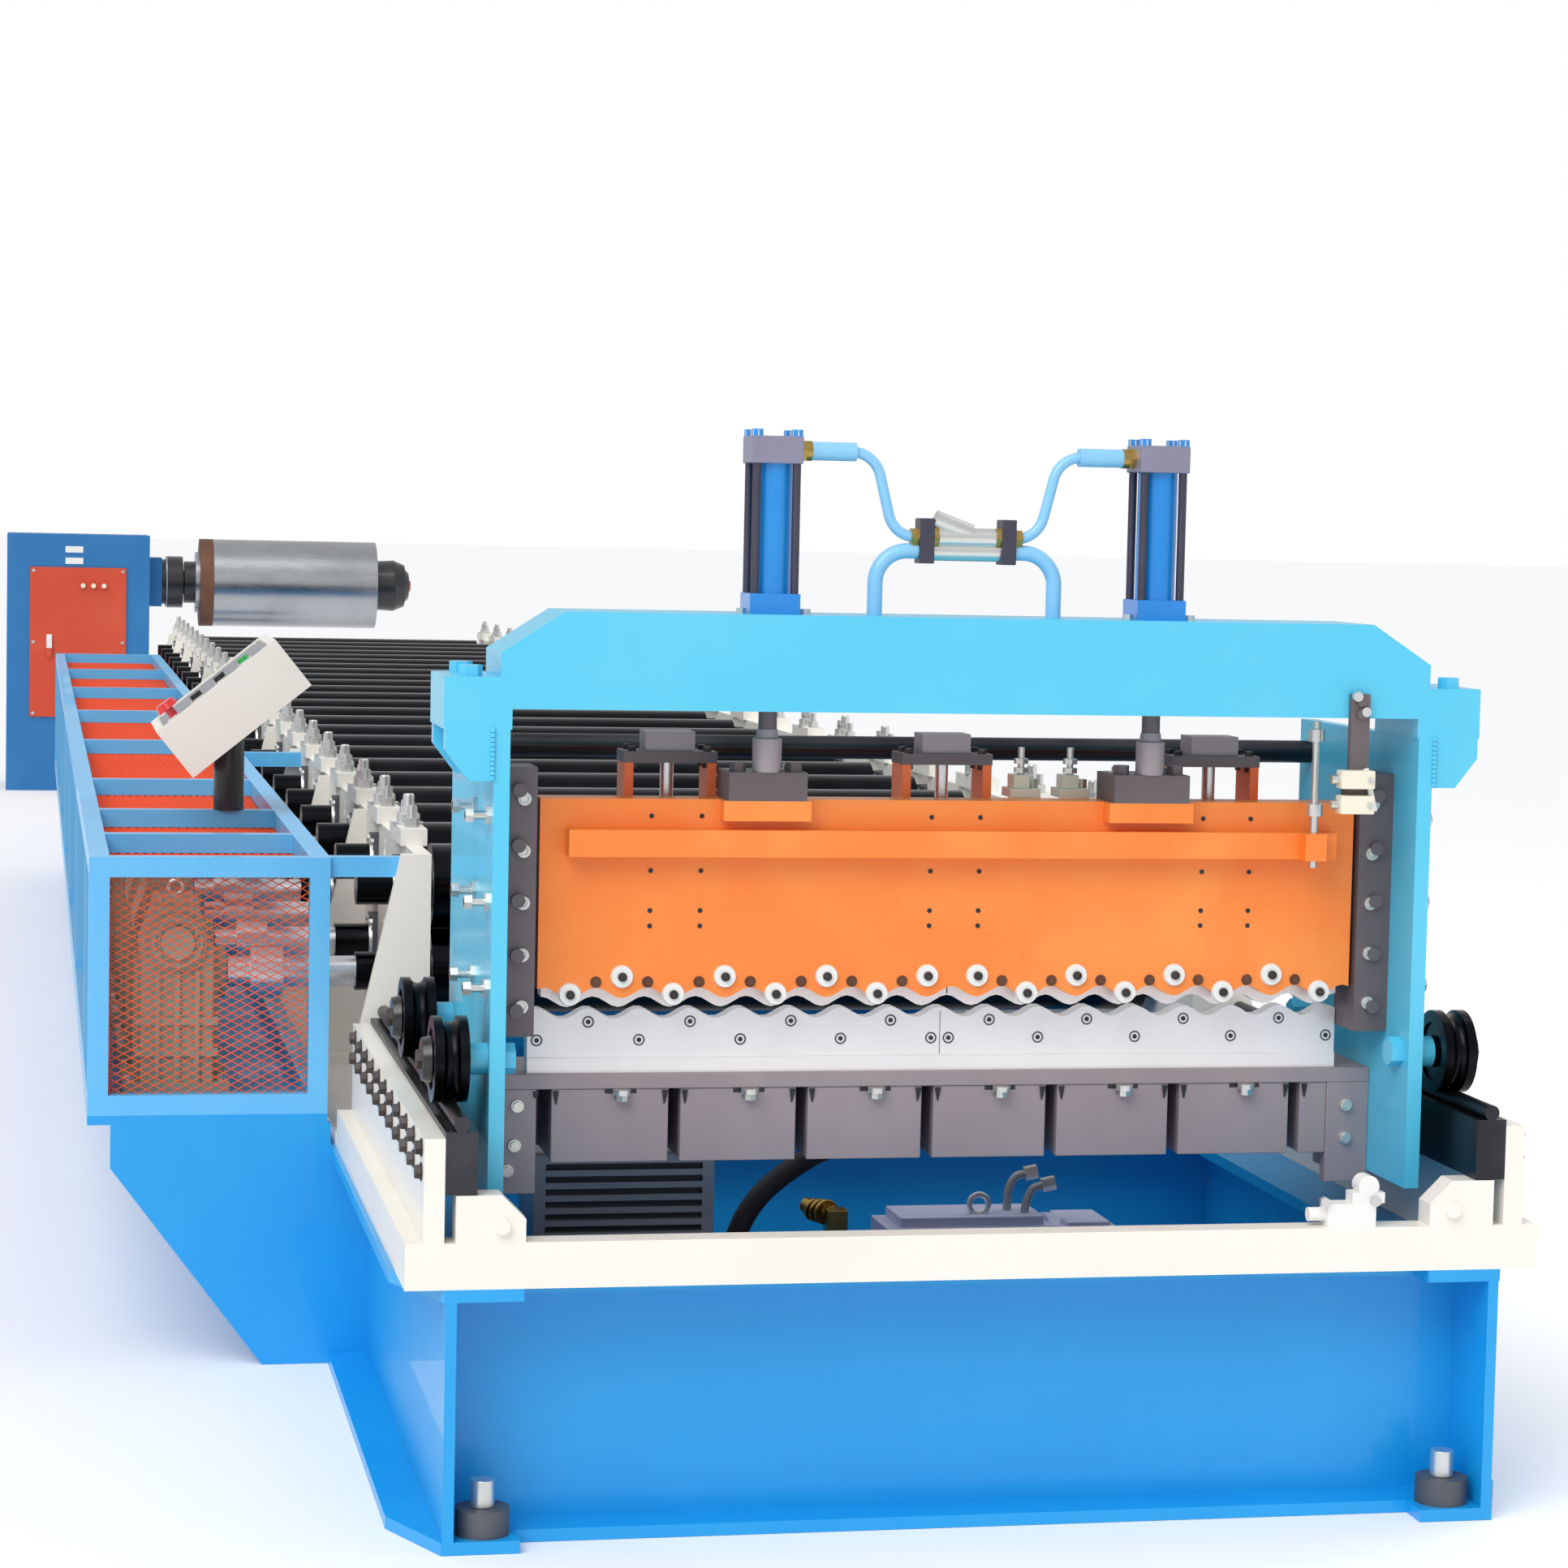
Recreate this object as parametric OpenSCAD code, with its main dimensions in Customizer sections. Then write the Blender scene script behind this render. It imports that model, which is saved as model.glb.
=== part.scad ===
// Roll forming machine for wavy roofing sheet: a long roller bed with a guarded gear drive,
// a cut-off press on wheels at the exit end, and the coil holder that feeds the entry end.
// X is across the machine, Y runs from the exit end to the coil, Z is up, floor at 0.

/* [Base frame] */
// Height of the base beams
base_height = 332; // [280:1:400]
// Half of the base's outside width
base_half_width = 745; // [700:1:800]
// Width of a beam flange
flange_width = 155; // [120:1:200]
// Thickness of a beam flange
flange_thick = 16; // [10:1:24]
// Thickness of a beam web
web_thick = 14; // [8:1:20]
// Distance from a beam's outer flange edge to its web
web_inset = 58; // [40:1:90]
// Length of the base frame
base_length = 10800; // [9600:10:12000]
// Number of cross beams
cross_beams = 11; // [10:1:14]
// How far the front cross web stands back from the front
front_web_setback = 120; // [60:1:180]
// Length of the sloping cut on the front corners
corner_cut = 90; // [40:1:110]
// Radius of a levelling pad
pad_radius = 34; // [24:1:40]
// Height of a levelling pad
pad_height = 34; // [20:1:60]
// Radius of a levelling screw
level_screw_radius = 15; // [8:1:20]

/* [Press track] */
// Length of the press track
track_length = 1030; // [980:1:1060]
// How far the cream bed stands in from the base's edge
bed_inset = 7; // [2:1:20]
// Height of the lower cream bed bar
bed_bar_height = 58; // [40:1:80]
// Width of the ledge outside the upper track plate
track_ledge = 22; // [12:1:30]
// Thickness of the upper track plate
track_thick = 26; // [16:1:34]
// Height of the upper track plate's top
track_top = 520; // [500:1:540]
// Width of a black rail
rail_width = 40; // [30:1:48]
// Underside of a black rail
rail_bottom = 450; // [430:1:480]
// Top of a black rail's flat
rail_top = 528; // [515:1:535]
// Radius of the ridge on a rail
ridge_radius = 10; // [6:1:12]
// Height of the ridge's axis above the rail's flat
ridge_lift = 9; // [6:1:12]
// Depth of the front rail
front_rail_depth = 40; // [25:1:50]
// Top of the stop blocks on the front rail
stop_top = 449; // [420:1:470]
// Width of a stop block
stop_width = 87; // [60:1:100]
// Gap between a stop block and the track plate
stop_gap = 14; // [4:1:24]
// Sloping corner of a stop block
stop_chamfer = 30; // [10:1:45]

/* [Press frame] */
// Front face of the press frame
press_front = 28; // [0:1:60]
// Depth of the press side plates
column_depth = 464; // [420:1:500]
// Gap between a press side plate and its wheels
wheel_side_gap = 26; // [20:1:36]
// Thickness of a press side plate
column_thick = 20; // [12:1:25]
// Underside of a press side plate
column_bottom = 416; // [400:1:440]
// Top of a press side plate
column_top = 1015; // [980:1:1060]
// Thickness of the seat plate on a side plate
seat_thick = 26; // [16:1:34]
// How far the top beam stands out past the side plates
beam_overhang = 64; // [50:1:80]
// Depth of the top beam
beam_depth = 160; // [140:1:200]
// Thickness of the top beam's bottom bar
beam_bar = 40; // [25:1:50]
// Height of the top beam above its bottom bar
beam_rise = 83; // [70:1:110]
// Thickness of the top beam's web and cover plates
beam_plate = 20; // [10:1:24]
// Thickness of the top beam's cover
beam_cover = 12; // [8:1:18]
// Distance from the top beam's end to its box
beam_box_inset = 71; // [40:1:90]
// Straight part of the box end before its slope
beam_end_rise = 31; // [15:1:50]
// How far the box end slopes inwards
beam_end_slope = 80; // [40:1:110]
// Depth of the corner gussets below the beam
gusset_height = 65; // [40:1:90]
// Straight part of a gusset's outer edge
gusset_edge = 26; // [10:1:35]
// Tie bar radius
tie_radius = 16; // [10:1:22]
// Height of the tie bar
tie_height = 970; // [900:1:990]

/* [Press wheels] */
// Wheel outside radius
wheel_radius = 55; // [50:1:56]
// Wheel width
wheel_width = 44; // [36:1:46]
// Running clearance between wheel groove and rail ridge
wheel_gap = 0.4; // [0.3:0.1:1]
// Groove depth to the rolling radius
groove_depth = 8; // [5:1:9]
// Axle radius
axle_radius = 12; // [8:1:16]
// Wheel distance from the press frame's front and rear edges
wheel_inset = 36; // [20:1:80]

/* [Cylinders and ram] */
// Distance of each cylinder from the centre line
cylinder_x = 258; // [220:1:300]
// Side of the cylinder's square end blocks
cylinder_block = 66; // [56:1:74]
// Cylinder tube radius
cylinder_radius = 26; // [20:1:30]
// Cylinder length up to the cap
cylinder_length = 193; // [160:1:230]
// Height of the cylinder cap block
cap_height = 34; // [24:1:44]
// Height of the cylinder foot block
foot_height = 26; // [18:1:36]
// Radius of the cylinder tie rods
tie_rod_radius = 5; // [4:1:7]
// Piston rod radius
rod_radius = 12; // [9:1:15]
// Height of the oil tee above the top beam
tee_rise = 102; // [85:1:125]
// Half length of the oil tee
tee_half = 64; // [50:1:70]
// Radius of the cylinder pipes
pipe_radius = 7; // [5:1:9]
// Bend radius of the cylinder pipes
pipe_bend_radius = 38; // [30:1:42]
// Turn of each bend in a cylinder pipe
pipe_turn = 76; // [66:1:82]
// Radius of the riser pipes
riser_radius = 10; // [8:1:11]
// Bend radius of the riser pipes
riser_bend = 42; // [32:1:46]
// Clearance around the piston rod
rod_gap = 0.5; // [0.3:0.1:1]
// Pressing stroke
stroke = 30; // [24:1:36]
// Gap between the ram plate and a side plate
ram_side_gap = 52; // [40:1:64]
// Thickness of the ram plate
ram_thick = 27; // [20:1:30]
// Top of the ram plate
ram_top = 922; // [900:1:930]
// Height of the ram's front rib
rib_height = 35; // [25:1:45]
// How far the rib stands out
rib_depth = 30; // [15:1:40]
// Underside of the rib
rib_bottom = 849; // [820:1:855]
// Distance from the ram plate's edge to its rib
rib_inset = 34; // [15:1:60]
// Width of a rod coupler
coupler_width = 103; // [80:1:130]
// Height of a rod coupler
coupler_height = 37; // [25:1:45]
// Distance between the three sheet presses
press_pitch = 372; // [330:1:400]
// Width between the ears of a sheet press
press_width = 122; // [100:1:150]
// Height of the ears above the ram plate
ear_rise = 47; // [35:1:50]

/* [Blades] */
// Wave length of the sheet
wave_pitch = 67.7; // [60:0.1:76]
// Full depth of the wave
wave_depth = 14; // [10:1:18]
// Points along each wave
wave_steps = 8; // [6:1:12]
// Middle height of the sheet
pass_height = 635; // [630:1:640]
// Open height between the blades
blade_gap = 20; // [16:1:24]
// Blade thickness
blade_thick = 28; // [20:1:30]
// Visible edge of the upper blade below the ram plate
blade_edge = 15; // [10:1:20]
// Height of the upper blade behind the plate
blade_height = 60; // [50:1:80]
// Front face of the lower blade
die_front = 183; // [175:1:195]
// Sliding clearance between ram and frame
slide_gap = 5; // [5:0.5:6]
// Gap between the lower blade and a side plate
die_side_gap = 48; // [40:1:60]
// Top of the lower beam
lower_beam_top = 557; // [545:1:565]
// Depth of the lower beam
lower_beam_depth = 160; // [140:1:200]
// Underside of the lower beam's ribs
lower_beam_bottom = 440; // [436:1:460]
// Underside of the lower beam's end plates
end_plate_bottom = 400; // [395:1:430]
// Thickness of the lower beam's plates
lower_plate = 20; // [12:1:24]
// Distance between the lower beam's ribs
lower_rib_pitch = 168; // [140:1:190]

/* [Rollers] */
// Number of roller stations
stations = 24; // [18:1:24]
// Distance between roller stations
station_pitch = 400; // [390:1:400]
// Place of the first roller station
first_station = 1180; // [1160:1:1200]
// Roller radius
roller_radius = 66; // [60:1:68]
// Distance from the sheet's middle to a roller axis
roller_drop = 67; // [67:1:70]
// Roller shaft radius
shaft_radius = 30; // [22:1:34]
// Clearance between roller end and side wall
roller_side_gap = 22; // [16:1:40]
// How far the side walls stand in from the press side plates
wall_inset = 2; // [0:1:10]
// Side wall thickness
wall_thick = 25; // [16:1:30]
// Top of the side walls
wall_top = 772; // [768:1:780]
// Bearing block width along the machine
bearing_width = 90; // [78:1:100]
// How far a bearing block stands out of its wall on each side
bearing_proud = 8; // [4:1:12]
// Thickness of the bridge over a bearing slot
bridge_thick = 26; // [18:1:36]
// Foot flange thickness of a side wall
wall_foot = 20; // [12:1:26]
// How far the side walls reach past the first bearing
wall_lead = 140; // [100:1:160]
// Ledge of a side wall's foot inside the wall
wall_foot_ledge = 28; // [15:1:40]
// Buttress thickness
buttress_thick = 16; // [10:1:22]
// How far a buttress stands in from the bed's edge
buttress_inset = 26; // [5:1:40]
// Adjusting screw radius
screw_radius = 9; // [6:1:12]
// Adjusting screw height above its bridge
screw_height = 46; // [30:1:70]

/* [Gear drive and guard] */
// Number of gearboxes in the row
gearboxes = 18; // [12:1:18]
// Distance from the guard to the gearbox feet
gearbox_clear = 140; // [120:1:150]
// Width of the gearbox feet
gearbox_foot_width = 160; // [140:1:170]
// Width of a gearbox body
gearbox_width = 108; // [90:1:120]
// Length of a gearbox body
gearbox_length = 190; // [150:1:220]
// Height of a gearbox
gearbox_height = 296; // [260:1:320]
// Line shaft height above the shelf
line_shaft_rise = 245; // [225:1:250]
// Line shaft radius
line_shaft_radius = 20; // [14:1:26]
// Height of the arm's shelf
shelf_top = 380; // [360:1:400]
// Shelf and arm plate thickness
arm_thick = 14; // [10:1:20]
// Width of the guard
guard_width = 355; // [345:1:380]
// Gap between the base and the guard
guard_gap = 5; // [3:1:20]
// Top of the guard
guard_top = 766; // [750:1:790]
// Front of the guard
guard_front = 958; // [945:1:970]
// Length of the guard
guard_length = 7560; // [7440:10:7600]
// Guard frame tube size
guard_tube = 30; // [20:1:40]
// Thickness of the guard mesh
mesh_thick = 3; // [2:0.5:4]
// Distance between guard cross bars
guard_bar_pitch = 1187; // [1000:1:1200]
// How far an arm stands in from the guard's edge
arm_inset = 34; // [20:1:60]
// Height of the arm's outer lower corner
arm_corner = 301; // [250:1:330]
// Width of an arm at the floor
arm_foot = 99; // [60:1:140]
// Distance between arm plates
arm_pitch = 1190; // [1000:1:1200]

/* [Operator panel] */
// Place of the panel post along the machine
post_y = 1842; // [1750:1:1900]
// Distance from the guard edge to the panel post
post_inset = 106; // [80:1:160]
// Post radius
post_radius = 26; // [18:1:34]
// Panel box length
box_length = 252; // [220:1:300]
// Panel box height
box_height = 98; // [80:1:120]
// Panel box width along the machine
box_width = 300; // [240:1:360]
// Tilt of the panel box
box_tilt = 39; // [20:1:45]
// Height of the panel box's middle
box_middle = 948; // [920:1:980]

/* [Hydraulic unit] */
// Front of the hydraulic unit
unit_front = 300; // [260:1:360]
// Length of the hydraulic unit
unit_length = 420; // [360:1:520]
// Width of the oil cooler
cooler_width = 246; // [200:1:260]
// Distance from the base web to the oil cooler
cooler_inset = 147; // [110:1:160]
// Height of the oil cooler's louvred box
cooler_height = 258; // [200:1:300]
// Depth of the oil cooler
cooler_depth = 150; // [110:1:200]
// Top of the oil cooler
cooler_top = 428; // [400:1:432]
// Width of the oil tank
tank_width = 560; // [400:1:600]
// Top of the oil tank
tank_top = 200; // [160:1:240]
// Underside of the hydraulic unit
unit_bottom = 20; // [16:1:60]
// Motor radius
motor_radius = 78; // [60:1:82]
// Motor length
motor_length = 270; // [200:1:300]

/* [Coil holder] */
// Front of the coil holder's cabinet
cabinet_front = 12320; // [11800:10:12600]
// Cabinet width
cabinet_width = 627; // [560:1:700]
// Left face of the cabinet
cabinet_left = -1295; // [-1340:1:-1240]
// Cabinet depth
cabinet_depth = 560; // [460:1:640]
// Cabinet height
cabinet_height = 1148; // [1000:1:1250]
// Height of the coil drum's axis
drum_height = 938; // [880:1:960]
// Coil drum radius
drum_radius = 198; // [160:1:200]
// Coil drum width
drum_width = 800; // [700:1:860]
// Place of the coil drum's left end
drum_left = -436; // [-470:1:-410]
// Height of the cabinet's feet
cabinet_feet = 60; // [40:1:90]
// Distance from the cabinet's edge to its access panel
panel_inset = 100; // [60:1:140]
// Width of the access panel
panel_width = 424; // [360:1:440]
// Height of the access panel
panel_height = 670; // [560:1:720]
// Height of the access panel's lower edge
panel_bottom = 331; // [260:1:380]
// Spindle radius
spindle_radius = 55; // [40:1:70]
// Clearance between spindle and drum
drum_gap = 0.5; // [0.3:0.1:1]

/* [Hidden] */
front_y = -100;
base_rear = front_y + base_length;
base_inner = base_half_width - flange_width;
web_outer = base_half_width - web_inset;
web_inner = web_outer - web_thick;
bed_half_width = base_half_width - bed_inset;
track_outer = bed_half_width - track_ledge;
front_web_y = front_y + front_web_setback;
cross_pitch = (base_length - front_web_setback - flange_width / 2 - web_thick / 2) / (cross_beams - 1);
track_inner = track_outer - track_thick;
track_rear = front_y + track_length;
rail_inner = track_inner - rail_width;
rail_middle = track_inner - rail_width / 2;
stop_outer = track_inner - stop_gap;
stop_inner = stop_outer - stop_width;
ridge_z = rail_top + ridge_lift;
column_outer = rail_middle - wheel_width / 2 - wheel_side_gap;
column_inner = column_outer - column_thick;
beam_half_length = column_outer + beam_overhang;
beam_box_half = beam_half_length - beam_box_inset;
ram_half_width = column_inner - ram_side_gap;
rib_half_length = ram_half_width - rib_inset;
die_half_width = column_inner - die_side_gap;
wave_count = floor(2 * ram_half_width / wave_pitch);
wall_inner = column_inner - wall_inset;
wall_foot_inner = wall_inner - wall_foot_ledge;
buttress_outer = bed_half_width - buttress_inset;
guard_inner = base_half_width + guard_gap;
guard_outer = guard_inner + guard_width;
gearbox_inner = guard_inner + gearbox_clear;
arm_outer = guard_outer - arm_inset;
arm_foot_outer = base_half_width + arm_foot;
post_x = -(guard_inner + post_inset);
cooler_left = -(web_inner - cooler_inset);
column_rear = press_front + column_depth;
beam_bottom = column_top + seat_thick;
beam_bar_top = beam_bottom + beam_bar;
beam_top = beam_bar_top + beam_rise;
beam_rear = press_front + beam_depth;
beam_middle = press_front + beam_depth / 2;
rolling_radius = wheel_radius - groove_depth;
wheel_z = ridge_z + ridge_radius + wheel_gap + rolling_radius;
wheel_front_y = press_front + wheel_inset;
wheel_rear_y = column_rear - wheel_inset;
wheel_inner = rail_middle - wheel_width / 2;
wheel_outer = rail_middle + wheel_width / 2;
cap_top = beam_top + cylinder_length + cap_height;
tee_z = beam_top + tee_rise;
riser_z = tee_z - pipe_radius - riser_radius - 1;
upper_blade_rear = die_front - slide_gap;
upper_blade_front = upper_blade_rear - blade_thick;
ram_front = upper_blade_front - ram_thick;
blade_line = pass_height + blade_gap;
blade_half_width = wave_pitch * wave_count / 2;
gib_thick = column_inner - ram_half_width - slide_gap;
top_axis = pass_height + roller_drop;
bottom_axis = pass_height - roller_drop;
wall_outer = wall_inner + wall_thick;
last_station = first_station + (stations - 1) * station_pitch;
wall_front = first_station - bearing_width - wall_lead;
wall_rear = last_station + bearing_width + 30;
slot_bottom = bottom_axis - bearing_width / 2;
bridge_top = wall_top + bridge_thick;
guard_rear = guard_front + guard_length;
guard_bars_first = guard_front + 393;
arm_bottom = 0;
gearbox_x = -(gearbox_inner + gearbox_foot_width / 2);
gearbox_foot = 30;
line_shaft_z = shelf_top + line_shaft_rise;
cabinet_rear = cabinet_front + cabinet_depth;
drum_y = cabinet_front + cabinet_depth / 2;
$fn = 48;

// A block given by its limits on the three axes.
module span(x0, x1, y0, y1, z0, z1) {
    translate([x0, y0, z0])
        cube([x1 - x0, y1 - y0, z1 - z0]);
}

// A round bar along X between two places.
module rod_x(x0, x1, y, z, r) {
    translate([x0, y, z])
        rotate([0, 90, 0])
            cylinder(h = x1 - x0, r = r);
}

// A round bar along Y between two places.
module rod_y(x, y0, y1, z, r) {
    translate([x, y1, z])
        rotate([90, 0, 0])
            cylinder(h = y1 - y0, r = r);
}

// A round bar along Z between two heights.
module rod_z(x, y, z0, z1, r) {
    translate([x, y, z0])
        cylinder(h = z1 - z0, r = r);
}

// A plate with an outline in X and Z, thick along Y.
module plate_y(y0, y1, outline) {
    translate([0, y1, 0])
        rotate([90, 0, 0])
            linear_extrude(y1 - y0)
                polygon(outline);
}

// The right side is drawn, and the left side is its mirror image.
module on_side(side) {
    if (side > 0)
        children();
    else
        mirror([1, 0, 0])
            children();
}

// Both sides at once.
module both_sides() {
    children();
    mirror([1, 0, 0])
        children();
}

// Height of the wave above its middle at a place across the machine.
function wave(x) = wave_depth / 2 * cos(360 * x / wave_pitch);

// Points of a wavy edge from left to right at a middle height.
function wavy_edge(half, level) = [
    for (i = [0 : ceil(2 * half / wave_pitch) * wave_steps])
        let (x = min(-half + i * wave_pitch / wave_steps, half))
            [x, level + wave(x)]
];

module base_beam(side) {
    color("#3FA9EC")
        on_side(side)
            difference() {
                union() {
                    span(base_inner, base_half_width, front_y, base_rear, 0, flange_thick);
                    span(base_inner, base_half_width, front_y, base_rear,
                         base_height - flange_thick, base_height);
                    span(web_inner, web_outer, front_y, base_rear, flange_thick,
                         base_height - flange_thick);
                }
                translate([0, 0, -1])
                    linear_extrude(base_height + 2)
                        polygon([
                            [web_outer + 1, front_y - 1],
                            [base_half_width + 1, front_y - 1],
                            [base_half_width + 1, front_y + corner_cut * 1.5],
                        ]);
            }
}

module base_beam_left() base_beam(-1);
module base_beam_right() base_beam(1);

module base_cross_beams() {
    color("#3FA9EC")
        for (i = [0 : cross_beams - 1]) {
            y = front_web_y + i * cross_pitch;
            span(-web_inner, web_inner, y, y + web_thick, flange_thick, base_height - flange_thick);
            for (z = [0, base_height - flange_thick])
                span(-base_inner, base_inner, y + web_thick / 2 - flange_width / 2,
                     y + web_thick / 2 + flange_width / 2, z, z + flange_thick);
        }
}

module levelling_foot(y) {
    foot_x = web_inner - pad_radius - 6;
    rod_z(foot_x, y, flange_thick, flange_thick + pad_height, pad_radius);
    rod_z(foot_x, y, flange_thick + pad_height, flange_thick + 2 * pad_height, level_screw_radius);
}

module levelling_feet() {
    color("#D9DCE0")
        both_sides()
            for (i = [0 : cross_beams - 1])
                levelling_foot(i == 0 ? front_y + pad_radius + 6
                                      : front_web_y + i * cross_pitch - pad_radius - 10);
}

module stop_block() {
    plate_y(front_y, front_y + front_rail_depth, [
        [stop_inner, base_height + bed_bar_height],
        [stop_inner, stop_top - stop_chamfer],
        [stop_inner + stop_chamfer, stop_top],
        [stop_outer, stop_top],
        [stop_outer, base_height + bed_bar_height],
    ]);
    rod_y(stop_inner + stop_chamfer, front_y - 8, front_y, stop_top - 38, 10);
}

module front_rail() {
    color("#F1F0E6") {
        span(-track_inner, track_inner, front_y, front_y + front_rail_depth, base_height,
             base_height + bed_bar_height);
        both_sides()
            stop_block();
    }
}

module track_side(side) {
    color("#F1F0E6")
        on_side(side) {
            span(track_inner, bed_half_width, front_y, track_rear, base_height,
                 base_height + bed_bar_height);
            span(track_inner, track_outer, front_y, track_rear, base_height + bed_bar_height,
                 track_top);
        }
}

module track_side_left() track_side(-1);
module track_side_right() track_side(1);

module track_rail(side) {
    color("#2E2F33")
        on_side(side) {
            span(rail_inner, track_inner, front_y, track_rear, rail_bottom, rail_top);
            intersection() {
                rod_y(rail_middle, front_y, track_rear, ridge_z, ridge_radius);
                span(rail_inner, track_inner, front_y, track_rear, rail_top, ridge_z + ridge_radius);
            }
        }
}

module track_rail_left() track_rail(-1);
module track_rail_right() track_rail(1);

module side_wall(side) {
    color("#EDEBDD")
        on_side(side) {
            difference() {
                span(wall_inner, wall_outer, wall_front, wall_rear, base_height + wall_foot, wall_top);
                for (i = [0 : stations - 1])
                    span(wall_inner - 1, wall_outer + 1,
                         first_station + i * station_pitch - bearing_width / 2,
                         first_station + i * station_pitch + bearing_width / 2,
                         slot_bottom, wall_top + 1);
            }
            span(wall_foot_inner, bed_half_width, wall_front, wall_rear, base_height,
                 base_height + wall_foot);
            for (i = [0 : stations - 1])
                span(wall_inner - bearing_proud, wall_outer + bearing_proud,
                     first_station + i * station_pitch - bearing_width,
                     first_station + i * station_pitch + bearing_width, wall_top, bridge_top);
            for (i = [2 : 2 : stations - 1])
                buttress(first_station + (i - 0.5) * station_pitch);
            buttress(wall_front);
            buttress(wall_rear - buttress_thick);
        }
}

module buttress(y) {
    plate_y(y, y + buttress_thick, [
        [wall_outer, base_height + wall_foot],
        [buttress_outer, base_height + wall_foot],
        [buttress_outer, bottom_axis - bearing_width],
        [wall_outer + 20, wall_top],
        [wall_outer, wall_top],
    ]);
}

module side_wall_left() side_wall(-1);
module side_wall_right() side_wall(1);

module bearing_block(y, z) {
    difference() {
        span(wall_inner - bearing_proud, wall_outer + bearing_proud, y - bearing_width / 2,
             y + bearing_width / 2, z - bearing_width / 2, z + bearing_width / 2);
        rod_x(wall_inner - bearing_proud - 1, wall_outer + bearing_proud + 1, y, z, shaft_radius);
    }
}

module bearing_blocks() {
    color("#55585E")
        both_sides()
            for (i = [0 : stations - 1])
                for (z = [top_axis, bottom_axis])
                    bearing_block(first_station + i * station_pitch, z);
}

module adjusting_screw(y) {
    screw_x = (wall_inner + wall_outer) / 2;
    rod_z(screw_x, y, bridge_top, bridge_top + screw_height, screw_radius);
    for (dx = [-1, 1])
        translate([screw_x, y + dx * bearing_width / 2 * 1.2, bridge_top])
            cylinder(h = screw_radius * 1.6, r = screw_radius * 1.3, $fn = 6);
    translate([screw_x, y, bridge_top])
        cylinder(h = screw_radius * 1.8, r = screw_radius * 2, $fn = 6);
}

module adjusting_screws() {
    color("#E4E5E8")
        both_sides()
            for (i = [0 : stations - 1])
                adjusting_screw(first_station + i * station_pitch);
}

module roller(y, z, shaft_left) {
    rod_x(-wall_inner + roller_side_gap, wall_inner - roller_side_gap, y, z, roller_radius);
    rod_x(-shaft_left, -wall_inner + roller_side_gap, y, z, shaft_radius);
    rod_x(wall_inner - roller_side_gap, wall_outer + bearing_proud + 14, y, z, shaft_radius);
}

module top_rollers() {
    color("#26272B")
        for (i = [0 : stations - 1])
            roller(first_station + i * station_pitch, top_axis, wall_outer + bearing_proud + 60);
}

module bottom_rollers() {
    color("#26272B")
        for (i = [0 : stations - 1])
            roller(first_station + i * station_pitch, bottom_axis, wall_outer + bearing_proud + 60);
}

module arm_plate(y) {
    plate_y(y, y + arm_thick, [
        [-arm_outer, shelf_top - arm_thick],
        [-arm_outer, arm_corner],
        [-arm_foot_outer, arm_bottom],
        [-base_half_width, arm_bottom],
        [-base_half_width, flange_thick],
        [-web_outer, flange_thick],
        [-web_outer, base_height - flange_thick],
        [-base_half_width, base_height - flange_thick],
        [-base_half_width, shelf_top - arm_thick],
    ]);
}

module drive_arms() {
    color("#3FA9EC") {
        for (i = [0 : floor((guard_length - arm_thick) / arm_pitch)])
            arm_plate(guard_front + i * arm_pitch);
        span(-guard_outer, -guard_inner, guard_front, guard_rear, shelf_top - arm_thick, shelf_top);
    }
}

module gearbox(y) {
    body_top = shelf_top + gearbox_height;
    body_left = gearbox_x - gearbox_width / 2;
    body_right = gearbox_x + gearbox_width / 2;
    y0 = y - gearbox_length / 2;
    y1 = y + gearbox_length / 2;
    difference() {
        union() {
            span(gearbox_x - gearbox_foot_width / 2, gearbox_x + gearbox_foot_width / 2, y0 - 12, y1 + 12,
                 shelf_top, shelf_top + gearbox_foot);
            plate_y(y0, y1, [
                [body_left, shelf_top + gearbox_foot],
                [body_right, shelf_top + gearbox_foot],
                [body_right, body_top - 60],
                [body_right - 22, body_top],
                [body_left + 22, body_top],
                [body_left, body_top - 60],
            ]);
            rod_y(gearbox_x, y0 - 14, y1 + 14, line_shaft_z, 43);
            rod_x(body_right, gearbox_x + gearbox_foot_width / 2 - 4, y, bottom_axis, 40);
            for (z = [shelf_top + 70, shelf_top + 118])
                span(body_left - 8, body_right + 8, y0 - 6, y1 + 6, z, z + 12);
        }
        rod_y(gearbox_x, y0 - 15, y1 + 15, line_shaft_z, line_shaft_radius);
    }
}

module gearbox_row() {
    color("#7C8276")
        for (i = [0 : gearboxes - 1])
            gearbox(first_station + i * station_pitch);
}

module drive_shafts() {
    color("#B9BCC2") {
        rod_y(gearbox_x, first_station - gearbox_length / 2 - 20,
              first_station + (gearboxes - 1) * station_pitch + gearbox_length / 2 + 30,
              line_shaft_z, line_shaft_radius);
        for (i = [0 : gearboxes - 1]) {
            y = first_station + i * station_pitch;
            rod_x(-gearbox_inner - 4 + 4, -wall_outer - bearing_proud - 60, y, bottom_axis, shaft_radius - 6);
            rod_x(-gearbox_inner + 34, -gearbox_inner + 84, y, bottom_axis, shaft_radius + 10);
        }
    }
}

module guard_bar_x(x0, x1, y, z) {
    span(x0, x1, y, y + guard_tube, z, z + guard_tube);
}

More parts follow.
